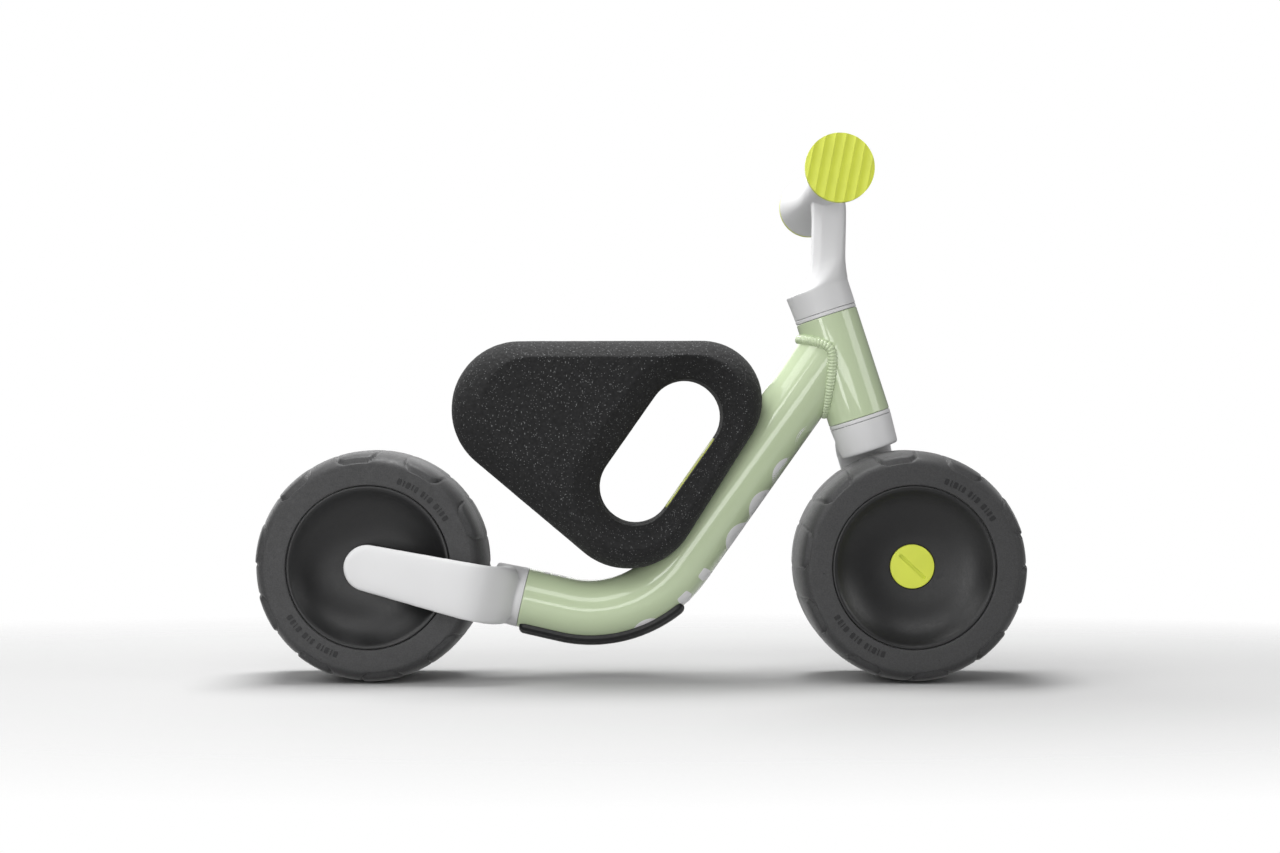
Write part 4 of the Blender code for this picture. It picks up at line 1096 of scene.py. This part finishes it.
def sidewall_marks(centre):
    """Two plain rows of bars and dots on each sidewall."""
    meshes = []
    for side in (-1, 1):
        for start in MARK_STARTS:
            angle = start
            for half_degrees in MARK_RHYTHM:
                if half_degrees == MARK_SPACE:
                    angle -= MARK_GAP * 1.6
                    continue
                half = math.radians(half_degrees)
                angle -= half
                meshes.append(sidewall_mark(centre, side, angle, half))
                angle -= half + MARK_GAP
    return joined(meshes)


# ------------------------ the bike

piece("frame_tube", main_tube(), SAGE, "frame", ["main_tube"])
piece("head_sleeve", head_tube(), SAGE, "frame", ["head_tube"])
piece("weld_ripples", weld_bead(), SAGE, "frame", ["weld_bead"], 60)
piece("tube_print", tube_print(), PRINT_WHITE, "frame")
piece("rear_leg", leg_with_collar(-1, REAR_SEAM - GAP, TUBE_RADIUS_REAR, 0.0226, REAR_LEG_PLACE),
      WHITE, "frame", ["rear_arm"])
piece("guard_strip", underside_guard(), RUBBER, "frame", ["underside_guard"])
foam_seat = piece("foam_seat", seat_foam(), FOAM, "frame", ["seat"], 60)
piece("slot_plate", clamp_plate(), LIME, "frame", ["seat_clamp_plate"])
for label, offset in zip(("lower", "upper"), SEAT_BOLTS):
    piece(f"plate_bolt_{label}", seat_bolt(offset), STEEL, "frame",
          [f"seat_bolt_{label}"])

piece("fork_leg", leg_with_collar(1, CROWN_TOP, HEAD_TUBE_RADIUS, 0.0229, HEAD_PLACE),
      WHITE, "steering", ["fork"])
for label, low in (("lower", CROWN_TOP + GAP), ("upper", HEAD_TUBE_TOP + GAP)):
    cover_outline = [(COVER_BORE, low), (HEAD_TUBE_RADIUS, low),
                     (HEAD_TUBE_RADIUS, low + COVER_THICKNESS), (COVER_BORE, low + COVER_THICKNESS)]
    cover = placed(revolved(rounded(cover_outline, 0.0006), 128), HEAD_PLACE)
    piece(f"{label}_cover_ring", cover, WHITE, "steering",
          [f"{label}_headset_cover"])
piece("bar_and_stem", handlebar(), WHITE, "steering", ["handlebar"])
for label, side in (("left", 1), ("right", -1)):
    piece(f"fluted_cap_{label}", grip_cap(side), LIME, "steering",
          [f"grip_cap_{label}"])

PAD_PHASE = {"front": math.radians(98.6), "rear": math.radians(96.5)}
for end, centre, fixed, open_side in (("front", FRONT_AXLE, "steering", -1),
                                      ("rear", REAR_AXLE, "frame", 1)):
    wheel = f"{end}_wheel"
    piece(f"{end}_tread", tyre(centre, PAD_PHASE[end]), TYRE, wheel,
          [f"{end}_tyre"], 50)
    piece(f"{end}_sidewall_marks", sidewall_marks(centre), TYRE_MARK, wheel)
    for label, side in (("left", 1), ("right", -1)):
        piece(f"{end}_dish_{label}", hub_half(centre, side), CORE, wheel,
              [f"{end}_hub_{label}"])
    piece(f"{end}_coin_cap", axle_cap(centre, open_side), LIME, fixed,
          [f"{end}_axle_cap"])

for node in frame["nodes"].values():
    node.data.materials.clear()
    node.data.materials.append(STEEL)

# ------------------------ floor, light and camera


FLOOR_HALF = 2.6
# painted shade: the grey floor is solid round the bike and fades to the white backdrop further out
SHADE_POOL_FADE = (0.30, 0.90)                   # from solid to gone, in stretched metres from the bike
WORLD_LIGHT = 0.13
WORLD_SEEN = 1.0
# name, place, point it faces, width and height, watts
SOFTBOXES = (
    ("top_back", (-0.15, 0.20, 1.40), (0, 0, 0.1), (1.1, 0.45), 26),
    ("rim_back", (-0.7, 1.5, 0.75), (0, 0, 0.15), (2.2, 0.9), 10),
    ("key_left", (-1.15, -0.75, 1.10), (-0.05, 0, 0.15), (0.9, 0.9), 6.5),
    ("front_strip", (0.0, -1.95, 0.17), (0, 0, 0.17), (1.15, 0.34), 5.0),
    ("front_tall", (-0.80, -1.55, 0.30), (0.1, 0, 0.2), (0.34, 1.3), 7.5),
    ("front_top", (0.1, -1.25, 1.25), (0, 0, 0.15), (1.3, 0.5), 6.5),
    ("right_fill", (1.50, -0.55, 0.70), (0.1, 0, 0.15), (0.8, 0.8), 5),
)
CAMERA_PLACE = (-0.0009, -1.7480, 0.1966)
CAMERA_LENS = 62.69


def studio_floor():
    """A pale grey floor that fades out away from the bike into the white backdrop: painted shade, a
    pool darker round the bike on top of the lamps' own shadows.
    """
    corners = [(-FLOOR_HALF, -FLOOR_HALF, 0), (FLOOR_HALF, -FLOOR_HALF, 0),
               (FLOOR_HALF, FLOOR_HALF, 0), (-FLOOR_HALF, FLOOR_HALF, 0)]
    floor = linked("studio_floor", mesh_of(corners, [(0, 1, 2, 3)]))
    paint = Paint("studio_floor", (0.50, 0.50, 0.50), 0.9)
    paint.set(Specular_IOR_Level=0.1)
    length = paint.nodes.new("ShaderNodeVectorMath")
    length.operation = "LENGTH"
    paint.links.new(paint.mapped((0.8, 1.5, 1)), length.inputs[0])
    # painted shade pool: solid grey near the bike, fading to the white backdrop away from it
    fade = paint.ranged(length.outputs["Value"], *SHADE_POOL_FADE, 1.0, 0.0)
    paint.links.new(fade, paint.shader.inputs["Alpha"])
    floor.data.materials.append(paint.material)


def softbox(name, place, aim, size, power):
    """A rectangular studio light that faces a point."""
    data = bpy.data.lights.new(name, "AREA")
    data.shape = "RECTANGLE"
    data.size, data.size_y = size
    data.energy = power
    light = linked(name, data)
    light.location = place
    light.rotation_euler = (Vector(aim) - Vector(place)).to_track_quat("-Z", "Y").to_euler()
    light.visible_camera = False


def studio():
    """A white backdrop that lights the bike only faintly, and the softboxes."""
    world = bpy.data.worlds.new("studio")
    bpy.context.scene.world = world
    world.use_nodes = True
    nodes, links = world.node_tree.nodes, world.node_tree.links
    background = nodes["Background"]
    background.inputs["Color"].default_value = (1, 1, 1, 1)
    seen = nodes.new("ShaderNodeLightPath")
    level = nodes.new("ShaderNodeMapRange")
    level.inputs["To Min"].default_value = WORLD_LIGHT
    level.inputs["To Max"].default_value = WORLD_SEEN
    links.new(seen.outputs["Is Camera Ray"], level.inputs["Value"])
    links.new(level.outputs["Result"], background.inputs["Strength"])
    for row in SOFTBOXES:
        softbox(*row)


def camera():
    """Square on to the bike's right side."""
    data = bpy.data.cameras.new("camera")
    data.lens = CAMERA_LENS
    data.sensor_width = 36.0
    made = linked("camera", data)
    made.location = CAMERA_PLACE
    made.rotation_euler = (math.pi / 2, 0, 0)
    bpy.context.scene.camera = made


studio_floor()
studio()
camera()
bpy.context.scene.view_settings.view_transform = "Standard"
